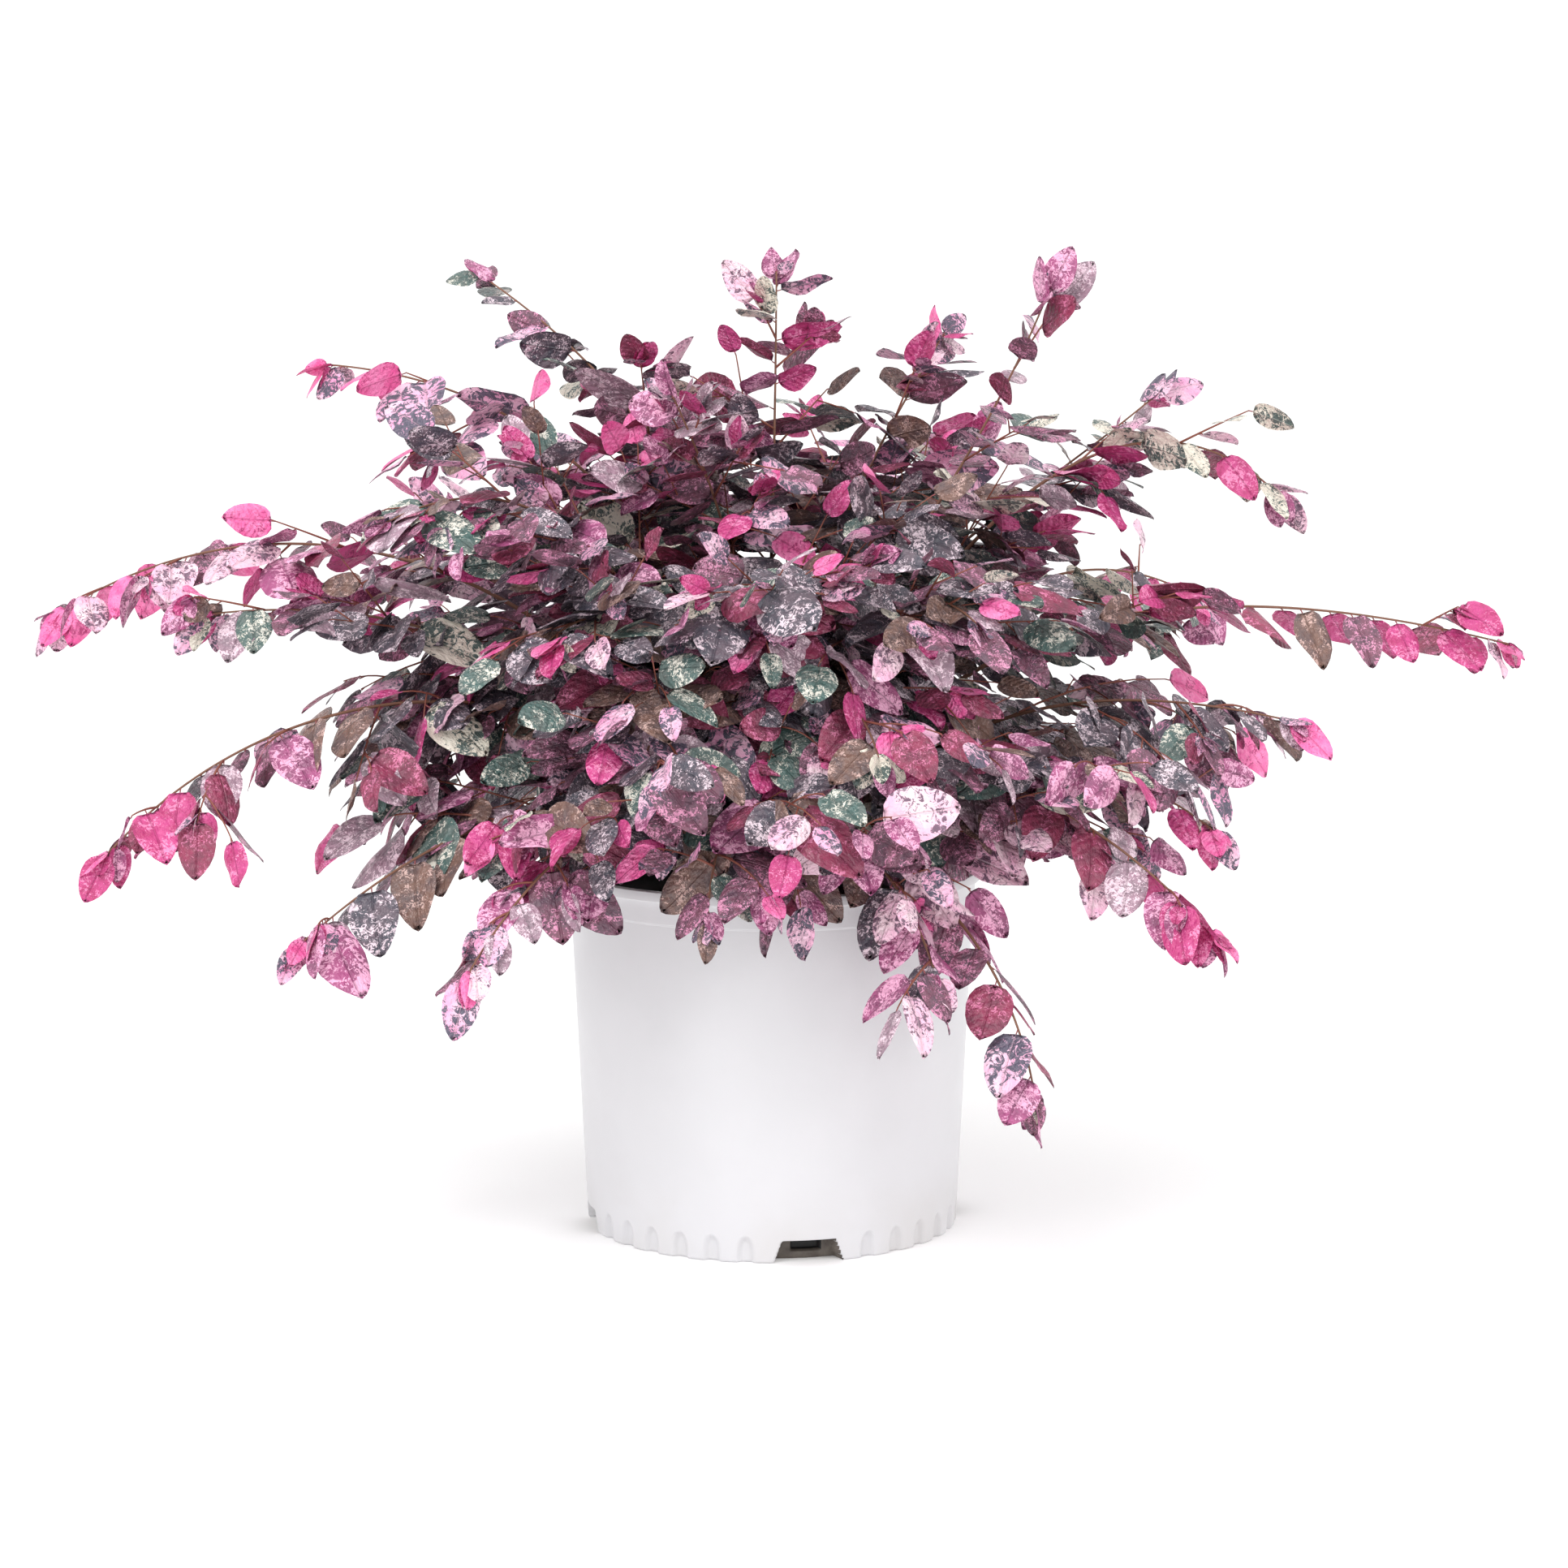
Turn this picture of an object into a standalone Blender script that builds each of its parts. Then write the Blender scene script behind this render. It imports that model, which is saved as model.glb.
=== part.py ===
"""A potted Chinese fringe flower: a young shrub of arching canes in a three-gallon nursery pot.

Lengths are in metres and +Z is up. The origin is the centre of the pot's flat underside, and the
side of the plant that is seen first faces -Y, with +X to its right. The shrub is a short stem in
the potting soil and a fan of canes. The lower part of a cane is a bare bough. The rest is a mass
of foliage, which is the cane's own stem, its side shoots and their leaves, joined as one solid.
"""

import math
import random
from typing import NamedTuple

import bmesh
import bpy
import numpy as np
from mathutils import Matrix, Vector

GAP = 0.0003  # left between solids that touch on the real plant
TIP_GAP = 0.0005  # between a bough's and a mass's middles, whose ends lean a little
TURNED_STEPS = 48

# Pot
POT_HEIGHT = 0.2413
RIM_RADIUS = 0.1400
LIP_HEIGHT = 0.007
BAND_RADIUS = 0.1362
BAND_BOTTOM = POT_HEIGHT - 0.0215
BODY_RADIUS = 0.1350  # just under the band
BASE_RADIUS = 0.1245
BASE_ROUNDING = 0.0015
WALL = 0.002
FOOT_WALL = 0.0035  # thicker where the flutes are pressed in
FOOT_HEIGHT = 0.021
FLOOR = 0.003

# Drain pockets and flutes round the foot of the pot
POCKETS = 4
FIRST_POCKET = math.radians(-90 + 11.2)  # a little to the right of the front
POCKET_WIDTH = 0.046
POCKET_TOP_WIDTH = 0.035
POCKET_HEIGHT = 0.015
POCKET_DEPTH = 0.012
DRAIN_WIDTH = 0.022
DRAIN_HEIGHT = 0.007
FLUTES_PER_QUARTER = 6
FIRST_FLUTE = math.radians(19.0)  # from the middle of a pocket
FLUTE_PITCH = math.radians(10.4)
FLUTE_WIDTH = 0.0116
FLUTE_HEIGHT = 0.0184
FLUTE_DEPTH = 0.0015

# Potting soil and stem
SOIL_TOP = 0.213
SOIL_SAG = 0.003  # how much lower it lies along the wall
STEM_HEIGHT = 0.046
STEM_FLARE_RADIUS = 0.0200
STEM_RADIUS = 0.0140
STEM_TOP_RADIUS = 0.0125
STEM_FLARE_FALL = 0.006  # height over which the flare shrinks to about a third
STEM_RINGS = 6
STEM_STEPS = 24
TIERS = (0.008, 0.018, 0.028, 0.038)  # heights above the soil at which boughs leave the stem
TOP_TIER = 4  # this one stands on the stem's top
TOP_TIER_RADIUS = 0.0082

# Canes
CANE_RADIUS = 0.0027  # at the foot
CANE_TIP_RADIUS = 0.0011
SEAT_RADIUS = 0.0024  # from a cane's centre line to the flats of its six-sided foot
HANDLE = 0.42  # Bezier handles, as a part of the distance from foot to tip
BOUGH_PART = 0.27  # part of a cane that is bare bough
BOUGH_SPANS = 4
STEM_SPANS = 7
AXIS_SAMPLES = 90

# Side shoots and leaves
SHOOT_START = 0.10  # first side shoot, as a part of the mass's stem
SHOOT_END = 0.86
SHOOT_LENGTH = 0.120  # of the lowest, and they shorten towards the tip
SHOOT_SHORTEST = 0.045
SHOOT_RADIUS = 0.0014
SHOOT_TIP_RADIUS = 0.0010
SHOOT_SPANS = 2
SHOOT_TESTS = 5  # points tested on each span
SHOOT_BEND = 0.12
SHOOT_SPREAD = math.radians(52)  # away from the stem
SHOOT_TURN = 0.9  # most that a shoot is turned round the stem from level, in radians
SHOOT_VARIES = 0.15
LEAF_SPACING = 0.0235
LEAF_LENGTH = 0.060
LEAF_WIDTH = 0.046
LEAF_THICKNESS = 0.0022
LEAF_SIZES = (1.0, 0.8, 0.62, 0.48)  # tried in turn, where a larger one has no room
TIP_LEAF_SCALE = 0.62
LEAF_WIDEST = 0.42  # of its length from the stalk
LEAF_SUNK = 0.0002  # how far past the twig's middle the root lies
LEAF_SPREAD = math.radians(58)
TIP_LEAF_SPREAD = 0.1
LEAF_SAG = (0.05, 0.45)
LEAF_SHRINK = 0.25  # how much smaller the last leaf before the tip is
LEAF_FACING = 0.9  # how far the upper face turns from the sky to the outside
LEAF_WOBBLE = 0.3
NEARLY_UPRIGHT = 0.25  # the level part of an upright twig's direction
OWN_SPACE_MARGIN = 0.0012
LIMB_CLEARANCE = 0.0045
FIRST_SEED = 1000


class Cane(NamedTuple):
    """One cane: where it points, where its tip is and how it bends on the way."""

    name: str
    azimuth: float  # degrees from +X, counter-clockwise seen from above
    reach: float  # from the pot's axis to the tip
    height: float  # of the tip above the ground
    launch: float  # degrees above the horizontal at the foot
    finish: float  # degrees above the horizontal at the tip, negative where it droops
    tier: int
    shoots: int


CANES = (
    Cane("left_long", 180, 0.476, 0.410, 64, -32, 2, 5),
    Cane("left_high", 166, 0.312, 0.574, 83, 4, 3, 5),
    Cane("left_top", 151, 0.228, 0.634, 85, 30, 4, 5),
    Cane("left_shoulder", 209, 0.275, 0.478, 72, -25, 2, 5),
    Cane("left_middle", 191, 0.375, 0.415, 54, -6, 0, 5),
    Cane("left_low", 201, 0.445, 0.272, 60, -46, 1, 5),
    Cane("left_hanging", 214, 0.352, 0.220, 50, -36, 0, 5),
    Cane("front_left_low", 233, 0.305, 0.210, 54, -46, 1, 5),
    Cane("front_left_high", 228, 0.215, 0.400, 77, -36, 3, 6),
    Cane("front_left_middle", 247, 0.205, 0.330, 68, -50, 4, 5),
    Cane("front_middle", 260, 0.225, 0.240, 66, -66, 0, 5),
    Cane("front_high", 272, 0.170, 0.430, 80, -25, 3, 5),
    Cane("front_right_middle", 289, 0.205, 0.335, 68, -48, 4, 5),
    Cane("front_right_high", 309, 0.205, 0.415, 77, -32, 3, 6),
    Cane("front_right_short", 297, 0.228, 0.196, 52, -58, 1, 4),
    Cane("front_right_hanging", 308, 0.265, 0.125, 50, -78, 0, 5),
    Cane("right_hanging", 324, 0.338, 0.226, 60, -42, 2, 5),
    Cane("right_low", 338, 0.305, 0.280, 50, -36, 0, 5),
    Cane("right_middle", 348, 0.345, 0.346, 54, -12, 1, 5),
    Cane("right_long", 0, 0.490, 0.390, 62, -14, 2, 6),
    Cane("right_arching", 13, 0.355, 0.486, 71, -42, 3, 5),
    Cane("right_top", 24, 0.290, 0.552, 78, 36, 4, 5),
    Cane("right_upright", 352, 0.182, 0.622, 77, 68, 4, 5),
    Cane("top_middle", 85, 0.034, 0.636, 88, 86, 4, 6),
    Cane("top_back", 50, 0.185, 0.594, 84, 46, 4, 6),
    Cane("top_left", 228, 0.095, 0.556, 85, 56, 4, 6),
    Cane("back_right", 38, 0.400, 0.400, 60, -26, 1, 5),
    Cane("back_right_low", 60, 0.330, 0.235, 52, -44, 0, 5),
    Cane("back_high", 78, 0.300, 0.500, 76, -8, 3, 5),
    Cane("back_middle", 96, 0.420, 0.360, 58, -34, 1, 5),
    Cane("back_left_low", 122, 0.340, 0.240, 52, -42, 0, 5),
    Cane("back_left", 140, 0.410, 0.410, 62, -24, 2, 5),
)


def clear_scene():
    for obj in list(bpy.data.objects):
        bpy.data.objects.remove(obj, do_unlink=True)


def new_collection(name, parent=None):
    collection = bpy.data.collections.new(name)
    (parent or bpy.context.scene.collection).children.link(collection)
    return collection


def plain_material(name, color, roughness):
    material = bpy.data.materials.new(name)
    material.use_nodes = True
    shader = material.node_tree.nodes["Principled BSDF"]
    shader.inputs["Base Color"].default_value = (*color, 1.0)
    shader.inputs["Roughness"].default_value = roughness
    shader.inputs["Metallic"].default_value = 0.0
    return material


def add_mesh(name, mesh, collection, material=None):
    obj = bpy.data.objects.new(name, mesh)
    collection.objects.link(obj)
    if material:
        mesh.materials.append(material)
    return obj


def as_guide(obj):
    """A cutter or a profile: it shapes other objects and isn't a part of the plant."""
    obj.hide_render = True
    obj.display_type = "WIRE"
    return obj


def turned(name, profile, steps, collection, material=None):
    """A solid of revolution about Z. The profile is (radius, height), down on its outer side."""
    mesh = bpy.data.meshes.new(name)
    edges = [(i, i + 1) for i in range(len(profile) - 1)]
    mesh.from_pydata([(radius, 0, height) for radius, height in profile], edges, [])
    obj = add_mesh(name, mesh, collection, material)
    screw = obj.modifiers.new("Turn", "SCREW")
    screw.steps = screw.render_steps = steps
    screw.use_merge_vertices = True
    screw.merge_threshold = 0.00001
    return obj


def boolean(obj, operation, operand):
    modifier = obj.modifiers.new(operation.title(), "BOOLEAN")
    modifier.operation = operation
    if isinstance(operand, bpy.types.Collection):
        modifier.operand_type = "COLLECTION"
        modifier.collection = operand
    else:
        modifier.object = operand
    return modifier


def applied_mesh(obj):
    """The mesh that the object's modifiers or curve settings make."""
    graph = bpy.context.evaluated_depsgraph_get()
    return bpy.data.meshes.new_from_object(obj.evaluated_get(graph))


def weld_caps(mesh):
    """Joins a curve's loose caps to its sides."""
    shape = bmesh.new()
    shape.from_mesh(mesh)
    bmesh.ops.remove_doubles(shape, verts=shape.verts, dist=0.00001)
    shape.to_mesh(mesh)
    shape.free()


def foot_frame(angle, radius, height):
    """A place on the pot's foot: X points outwards, Y along the wall and Z up."""
    return Matrix.Rotation(angle, 4, "Z") @ Matrix.Translation((radius, 0, height))


def tapered_block(name, frame, depth, width, top_width, height, collection):
    """A block that stands on the frame's origin and runs inwards from it."""
    mesh = bpy.data.meshes.new(name)
    shape = bmesh.new()
    bmesh.ops.create_cube(shape, size=1.0)
    for vert in shape.verts:
        side = top_width if vert.co.z > 0 else width
        vert.co = ((vert.co.x - 0.5) * depth, vert.co.y * side, (vert.co.z + 0.5) * height)
    shape.to_mesh(mesh)
    shape.free()
    obj = add_mesh(name, mesh, collection)
    obj.matrix_world = frame
    return as_guide(obj)


def pocket_angles():
    return [FIRST_POCKET + k * math.tau / POCKETS for k in range(POCKETS)]


def flute_angles():
    steps = range(FLUTES_PER_QUARTER)
    return [a + FIRST_FLUTE + k * FLUTE_PITCH for a in pocket_angles() for k in steps]


def wall_radius(height):
    """The pot's outer radius below the band."""
    return BASE_RADIUS + (BODY_RADIUS - BASE_RADIUS) * height / BAND_BOTTOM


def inside_profile(clearance):
    """The pot's inside, from the rim's height down, drawn in by the clearance."""
    foot_radius = wall_radius(FLOOR) - FOOT_WALL
    above_foot = wall_radius(FOOT_HEIGHT) - WALL
    return [
        (BAND_RADIUS - WALL - clearance, POT_HEIGHT),
        (BODY_RADIUS - WALL - clearance, BAND_BOTTOM - WALL),
        (above_foot - clearance, FOOT_HEIGHT + (FOOT_WALL - WALL)),
        (foot_radius - clearance, FOOT_HEIGHT - (FOOT_WALL - WALL)),
        (foot_radius - clearance, FLOOR + clearance),
        (0, FLOOR + clearance),
    ]


def pocket_housings(name, clearance, collection):
    """The plastic round each drain pocket, which stands up inside the pot."""
    grown = 2 * (WALL + clearance)
    for k, angle in enumerate(pocket_angles()):
        tapered_block(
            f"{name}_{k}",
            foot_frame(angle, BASE_RADIUS + POCKET_DEPTH, -FLOOR),
            2 * POCKET_DEPTH + WALL + clearance,
            POCKET_WIDTH + grown,
            POCKET_TOP_WIDTH + grown,
            FLOOR + POCKET_HEIGHT + WALL + clearance,
            collection,
        )


def flute_cutter(name, angle, collection):
    """A stretched ball on the foot's edge, whose upper half presses one flute into the wall."""
    mesh = bpy.data.meshes.new(name)
    shape = bmesh.new()
    bmesh.ops.create_uvsphere(shape, u_segments=6, v_segments=6, radius=1.0)
    sizes = Matrix.Diagonal((2 * FLUTE_DEPTH, FLUTE_WIDTH / 2, FLUTE_HEIGHT, 1.0))
    bmesh.ops.transform(shape, matrix=sizes, verts=shape.verts)
    shape.to_mesh(mesh)
    shape.free()
    obj = add_mesh(name, mesh, collection)
    obj.matrix_world = foot_frame(angle, BASE_RADIUS + FLUTE_DEPTH, 0)
    return as_guide(obj)


def build_pot(parts, cutters):
    """The pot: a turned body, hollowed, with drain pockets and flutes cut in its foot."""
    plastic = plain_material("pot_plastic", (0.86, 0.85, 0.87), 0.35)
    profile = [
        (0, POT_HEIGHT),
        (RIM_RADIUS, POT_HEIGHT),
        (RIM_RADIUS, POT_HEIGHT - LIP_HEIGHT),
        (BAND_RADIUS, POT_HEIGHT - LIP_HEIGHT),
        (BAND_RADIUS - 0.0002, BAND_BOTTOM),
        (BODY_RADIUS, BAND_BOTTOM - 0.0006),
        (BASE_RADIUS, BASE_ROUNDING),
        (BASE_RADIUS - BASE_ROUNDING, 0),
        (0, 0),
    ]
    pot = turned("pot", profile, TURNED_STEPS, parts, plastic)
    housings = new_collection("pocket_housings", cutters)
    pocket_housings("housing", 0, housings)
    above_rim = [(0, POT_HEIGHT + WALL), (BAND_RADIUS - WALL, POT_HEIGHT + WALL)]
    inside = turned("pot_inside", above_rim + inside_profile(0), TURNED_STEPS, cutters)
    boolean(as_guide(inside), "DIFFERENCE", housings)
    boolean(pot, "DIFFERENCE", inside)
    cuts = new_collection("foot_cuts", cutters)
    for k, angle in enumerate(pocket_angles()):
        outside = foot_frame(angle, BASE_RADIUS + POCKET_DEPTH, -WALL)
        sizes = (2 * POCKET_DEPTH, POCKET_WIDTH, POCKET_TOP_WIDTH, WALL + POCKET_HEIGHT)
        tapered_block(f"pocket_{k}", outside, *sizes, cuts)
        drain = foot_frame(angle, BASE_RADIUS - POCKET_DEPTH / 2, FLOOR + WALL)
        tapered_block(
            f"drain_{k}", drain, POCKET_DEPTH, DRAIN_WIDTH, DRAIN_WIDTH, DRAIN_HEIGHT, cuts
        )
    for k, angle in enumerate(flute_angles()):
        flute_cutter(f"flute_{k}", angle, cuts)
    boolean(pot, "DIFFERENCE", cuts)


def build_soil(parts, cutters):
    """The potting soil, which fills the pot to a little under its rim."""
    earth = plain_material("potting_soil", (0.055, 0.035, 0.024), 0.95)
    down = [(radius, height) for radius, height in inside_profile(GAP) if height < SOIL_TOP]
    top_radius = wall_radius(SOIL_TOP) - WALL - GAP
    top = [(0, SOIL_TOP), (2 * STEM_FLARE_RADIUS, SOIL_TOP), (top_radius, SOIL_TOP - SOIL_SAG)]
    soil = turned("potting_soil", top + down, TURNED_STEPS, parts, earth)
    housings = new_collection("soil_clearance", cutters)
    pocket_housings("clearance", GAP, housings)
    boolean(soil, "DIFFERENCE", housings)


def stem_radius(height):
    """The stem's radius at a height above the soil: a flare that runs into an even taper."""
    flare = (STEM_FLARE_RADIUS - STEM_RADIUS) * math.exp(-height / STEM_FLARE_FALL)
    return flare + STEM_RADIUS + (STEM_TOP_RADIUS - STEM_RADIUS) * height / STEM_HEIGHT


def build_stem(parts, bark):
    """The short stem in the soil, cut flat where it meets the soil."""
    foot = SOIL_TOP + GAP
    heights = [STEM_HEIGHT * k / STEM_RINGS for k in range(STEM_RINGS, -1, -1)]
    side = [(stem_radius(height), foot + height) for height in heights]
    profile = [(0, foot + STEM_HEIGHT)] + side + [(0, foot)]
    turned("stem", profile, STEM_STEPS, parts, bark)


def outward(azimuth):
    return Vector((math.cos(azimuth), math.sin(azimuth), 0))


def aimed(azimuth, elevation):
    return outward(azimuth) * math.cos(elevation) + Vector((0, 0, math.sin(elevation)))


def top_seat(cane):
    """The azimuth of a cane's foot on the stem's top, where the canes stand evenly spaced."""
    on_top = sorted(c.azimuth for c in CANES if c.tier == TOP_TIER)
    return math.radians(on_top[0]) + math.tau * on_top.index(cane.azimuth) / len(on_top)


def cane_foot(cane):
    """Where the cane's centre line starts, so that its flat end is the gap away from the stem."""
    azimuth, launch = math.radians(cane.azimuth), math.radians(cane.launch)
    foot = SOIL_TOP + GAP
    if cane.tier == TOP_TIER:
        height = foot + STEM_HEIGHT + GAP + CANE_RADIUS * math.cos(launch)
        return outward(top_seat(cane)) * TOP_TIER_RADIUS + Vector((0, 0, height))
    height = TIERS[cane.tier]
    radius = stem_radius(height) + GAP + SEAT_RADIUS * math.sin(launch)
    return outward(azimuth) * radius + Vector((0, 0, foot + height))


def cane_point(cane, part):
    """A point of the cane's centre line, a cubic Bezier curve, at a part of the way along."""
    azimuth = math.radians(cane.azimuth)
    start = cane_foot(cane)
    end = outward(azimuth) * cane.reach + Vector((0, 0, cane.height))
    handle = HANDLE * (end - start).length
    rise = start + aimed(azimuth, math.radians(cane.launch)) * handle
    fall = end - aimed(azimuth, math.radians(cane.finish)) * handle
    rest = 1 - part
    return (
        start * rest**3 + rise * (3 * rest**2 * part) + fall * (3 * rest * part**2) + end * part**3
    )


def cane_tangent(cane, part):
    step = 0.01
    ahead, behind = min(part + step, 1), max(part - step, 0)
    return (cane_point(cane, ahead) - cane_point(cane, behind)).normalized()


def cane_radius(part):
    return CANE_RADIUS + (CANE_TIP_RADIUS - CANE_RADIUS) * part


def bough_part(cane):
    """The part of a cane that is bough: none where its foliage stands on the stem's top."""
    return 0 if cane.tier == TOP_TIER else BOUGH_PART


def tube(name, points, radii, collection, profile=None):
    """A tapering twig or limb along the points, as a curve with filled ends."""
    curve = bpy.data.curves.new(name, "CURVE")
    curve.dimensions = "3D"
    curve.use_fill_caps = True
    if profile:
        curve.bevel_mode = "OBJECT"
        curve.bevel_object = profile
    else:
        curve.bevel_depth = 1.0
        curve.bevel_resolution = 1
    spline = curve.splines.new("POLY")
    spline.points.add(len(points) - 1)
    for place, point, radius in zip(spline.points, points, radii):
        place.co = (*point, 1)
        place.radius = radius
    obj = bpy.data.objects.new(name, curve)
    collection.objects.link(obj)
    return obj


def build_bough(cane, parts, bark):
    """The bare lower part of a cane: one tapering limb from the stem to its foliage."""
    steps = [BOUGH_PART * k / BOUGH_SPANS for k in range(BOUGH_SPANS + 1)]
    points = [cane_point(cane, part) for part in steps]
    radii = [cane_radius(part) for part in steps]
    bough = tube(f"bough_{cane.name}", points, radii, parts)
    bough.data.materials.append(bark)


def twig_profile(cutters):
    """A triangle of radius 1, swept along the twigs. It runs clockwise, so that they face out."""
    curve = bpy.data.curves.new("twig_profile", "CURVE")
    curve.dimensions = "2D"
    spline = curve.splines.new("POLY")
    spline.points.add(2)
    for k, place in enumerate(spline.points):
        turn = -k * math.tau / 3
        place.co = (math.cos(turn), math.sin(turn), 0, 1)
    spline.use_cyclic_u = True
    obj = bpy.data.objects.new("twig_profile", curve)
    cutters.objects.link(obj)
    return as_guide(obj)


def leaf_blank():
    """A leaf folded along its midrib: root at the origin, tip at X 1, both edges raised."""
    mesh = bpy.data.meshes.new("leaf")
    shape = bmesh.new()
    for corner in ((0, 0, 0), (1, 0, 0), (LEAF_WIDEST, 0.5, 1), (LEAF_WIDEST, -0.5, 1)):
        shape.verts.new(corner)
    bmesh.ops.convex_hull(shape, input=shape.verts)
    bmesh.ops.recalc_face_normals(shape, faces=shape.faces)
    shape.to_mesh(mesh)
    shape.free()
    return mesh


def sideways(direction, azimuth):
    """A level direction across a twig, or across the cane's own plane on an upright twig."""
    across = direction.cross(Vector((0, 0, 1)))
    if across.length < NEARLY_UPRIGHT:
        across = direction.cross(outward(azimuth))
    return across.normalized()


class Space:
    """The room of each cane's foliage: all that is nearer to its own line than to any other."""

    def __init__(self, canes):
        parts = np.linspace(0, 1, AXIS_SAMPLES)
        self.lines = {c.name: np.array([cane_point(c, p) for p in parts]) for c in canes}
        self.bare = {c.name: round(bough_part(c) * AXIS_SAMPLES) for c in canes}

    def nearest(self, points, line):
        if not len(line):
            return np.full(len(points), np.inf)
        return np.linalg.norm(points[:, None] - line[None], axis=2).min(axis=1)

    def holds(self, name, points):
        points = np.array(points)
        own_line = self.lines[name]
        own = self.nearest(points, own_line)
        others = np.vstack([line for other, line in self.lines.items() if other != name])
        other = self.nearest(points, others)
        bare = self.nearest(points, own_line[: self.bare[name]])
        level, height = np.hypot(points[:, 0], points[:, 1]), points[:, 2]
        on_pot = (level < RIM_RADIUS + LIMB_CLEARANCE) & (height < POT_HEIGHT + LIMB_CLEARANCE)
        clear = (other > own + OWN_SPACE_MARGIN) & (other > LIMB_CLEARANCE)
        return bool((clear & (bare > LIMB_CLEARANCE) & ~on_pot).all())


def between(points, steps):
    """The points of a line with evenly spaced ones added between each pair."""
    line = [Vector(points[0])]
    for start, end in zip(points, points[1:]):
        line += [start.lerp(end, k / steps) for k in range(1, steps + 1)]
    return line


def leaf_frame(root, direction, azimuth, scale, rng):
    """The place of a leaf: X along its midrib, Z out of its upper face."""
    wobble = Vector((rng.gauss(0, LEAF_WOBBLE), rng.gauss(0, LEAF_WOBBLE), 0))
    lean = Vector((0, 0, 1)) + outward(azimuth) * LEAF_FACING + wobble
    across = lean.cross(direction)
    if across.length < NEARLY_UPRIGHT:
        across = sideways(direction, azimuth)
    across.normalize()
    face = direction.cross(across).normalized()
    columns = (
        direction * LEAF_LENGTH * scale,
        across * LEAF_WIDTH * scale,
        face * LEAF_THICKNESS,
    )
    frame = Matrix((*[column.to_4d() for column in columns], root.to_4d())).transposed()
    frame[3][:] = (0, 0, 0, 1)
    return frame


def leaf_outline(frame):
    """Points round a leaf's edge and along its middle, for the test of its space."""
    corners = [(1, 0), (LEAF_WIDEST, 0.5), (LEAF_WIDEST, -0.5), (0.7, 0.25), (0.7, -0.25)]
    corners += [(0.2, 0.25), (0.2, -0.25), (0.5, 0)]
    return [frame @ Vector((x, y, 0)) for x, y in corners]


def grow_leaves(cane, points, space, rng, first):
    """Leaves in two ranks along a twig and one at its tip, each where its space has room."""
    azimuth = math.radians(cane.azimuth)
    lengths = [(b - a).length for a, b in zip(points, points[1:])]
    total = sum(lengths)
    count = max(int((total - first) / LEAF_SPACING), 1)
    frames = []
    for k in range(count + 1):
        at_tip = k == count
        travel = total - 0.001 if at_tip else first + (total - first) * k / count
        span = 0
        while span < len(lengths) - 1 and travel > lengths[span]:
            travel -= lengths[span]
            span += 1
        along = (points[span + 1] - points[span]).normalized()
        on_axis = points[span] + along * travel
        side = sideways(along, azimuth) * (1 if k % 2 else -1)
        spread = TIP_LEAF_SPREAD if at_tip else LEAF_SPREAD * rng.uniform(0.8, 1.2)
        sag = Vector((0, 0, -rng.uniform(*LEAF_SAG)))
        direction = (along * math.cos(spread) + side * math.sin(spread) + sag).normalized()
        scale = TIP_LEAF_SCALE if at_tip else rng.uniform(0.85, 1.05)
        scale *= 1 - LEAF_SHRINK * (k / count) ** 2
        root = on_axis - direction * LEAF_SUNK
        for size in LEAF_SIZES:
            frame = leaf_frame(root, direction, azimuth, scale * size, rng)
            if space.holds(cane.name, leaf_outline(frame)):
                frames.append(frame)
                break
    return frames


def side_shoot(cane, part, turn, length, rng):
    """The points of a side shoot, which leaves the stem at an angle and bends down."""
    start = cane_point(cane, part)
    along = cane_tangent(cane, part)
    side = Matrix.Rotation(turn, 3, along) @ sideways(along, math.radians(cane.azimuth))
    spread = SHOOT_SPREAD * rng.uniform(0.8, 1.2)
    heading = along * math.cos(spread) + side * math.sin(spread)
    points = [start]
    for _ in range(SHOOT_SPANS):
        points.append(points[-1] + heading * (length / SHOOT_SPANS))
        heading = (heading + Vector((0, 0, -SHOOT_BEND))).normalized()
    return points


def grow_twigs(cane, space, rng):
    """The mass's own stem and its side shoots, each as its points and radii."""
    start = bough_part(cane)
    if start:
        step = 0.01
        start += TIP_GAP * step / (cane_point(cane, start + step) - cane_point(cane, start)).length
    parts = np.linspace(start, 1, STEM_SPANS + 1)
    twigs = [([cane_point(cane, part) for part in parts], cane_radius(parts))]
    for k in range(cane.shoots):
        along = SHOOT_START + (SHOOT_END - SHOOT_START) * k / max(cane.shoots - 1, 1)
        part = start + (1 - start) * along
        turn = (0 if k % 2 else math.pi) + rng.uniform(-SHOOT_TURN, SHOOT_TURN)
        length = SHOOT_LENGTH + (SHOOT_SHORTEST - SHOOT_LENGTH) * along
        length *= rng.uniform(1 - SHOOT_VARIES, 1 + SHOOT_VARIES)
        shoot = side_shoot(cane, part, turn, length, rng)
        outer = between(shoot, SHOOT_TESTS)[2:]
        while len(shoot) > 2 and not space.holds(cane.name, outer):
            shoot.pop()
            outer = between(shoot, SHOOT_TESTS)[2:]
        if space.holds(cane.name, outer):
            radii = np.linspace(SHOOT_RADIUS, SHOOT_TIP_RADIUS, len(shoot))
            twigs.append((shoot, radii))
    return twigs


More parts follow.
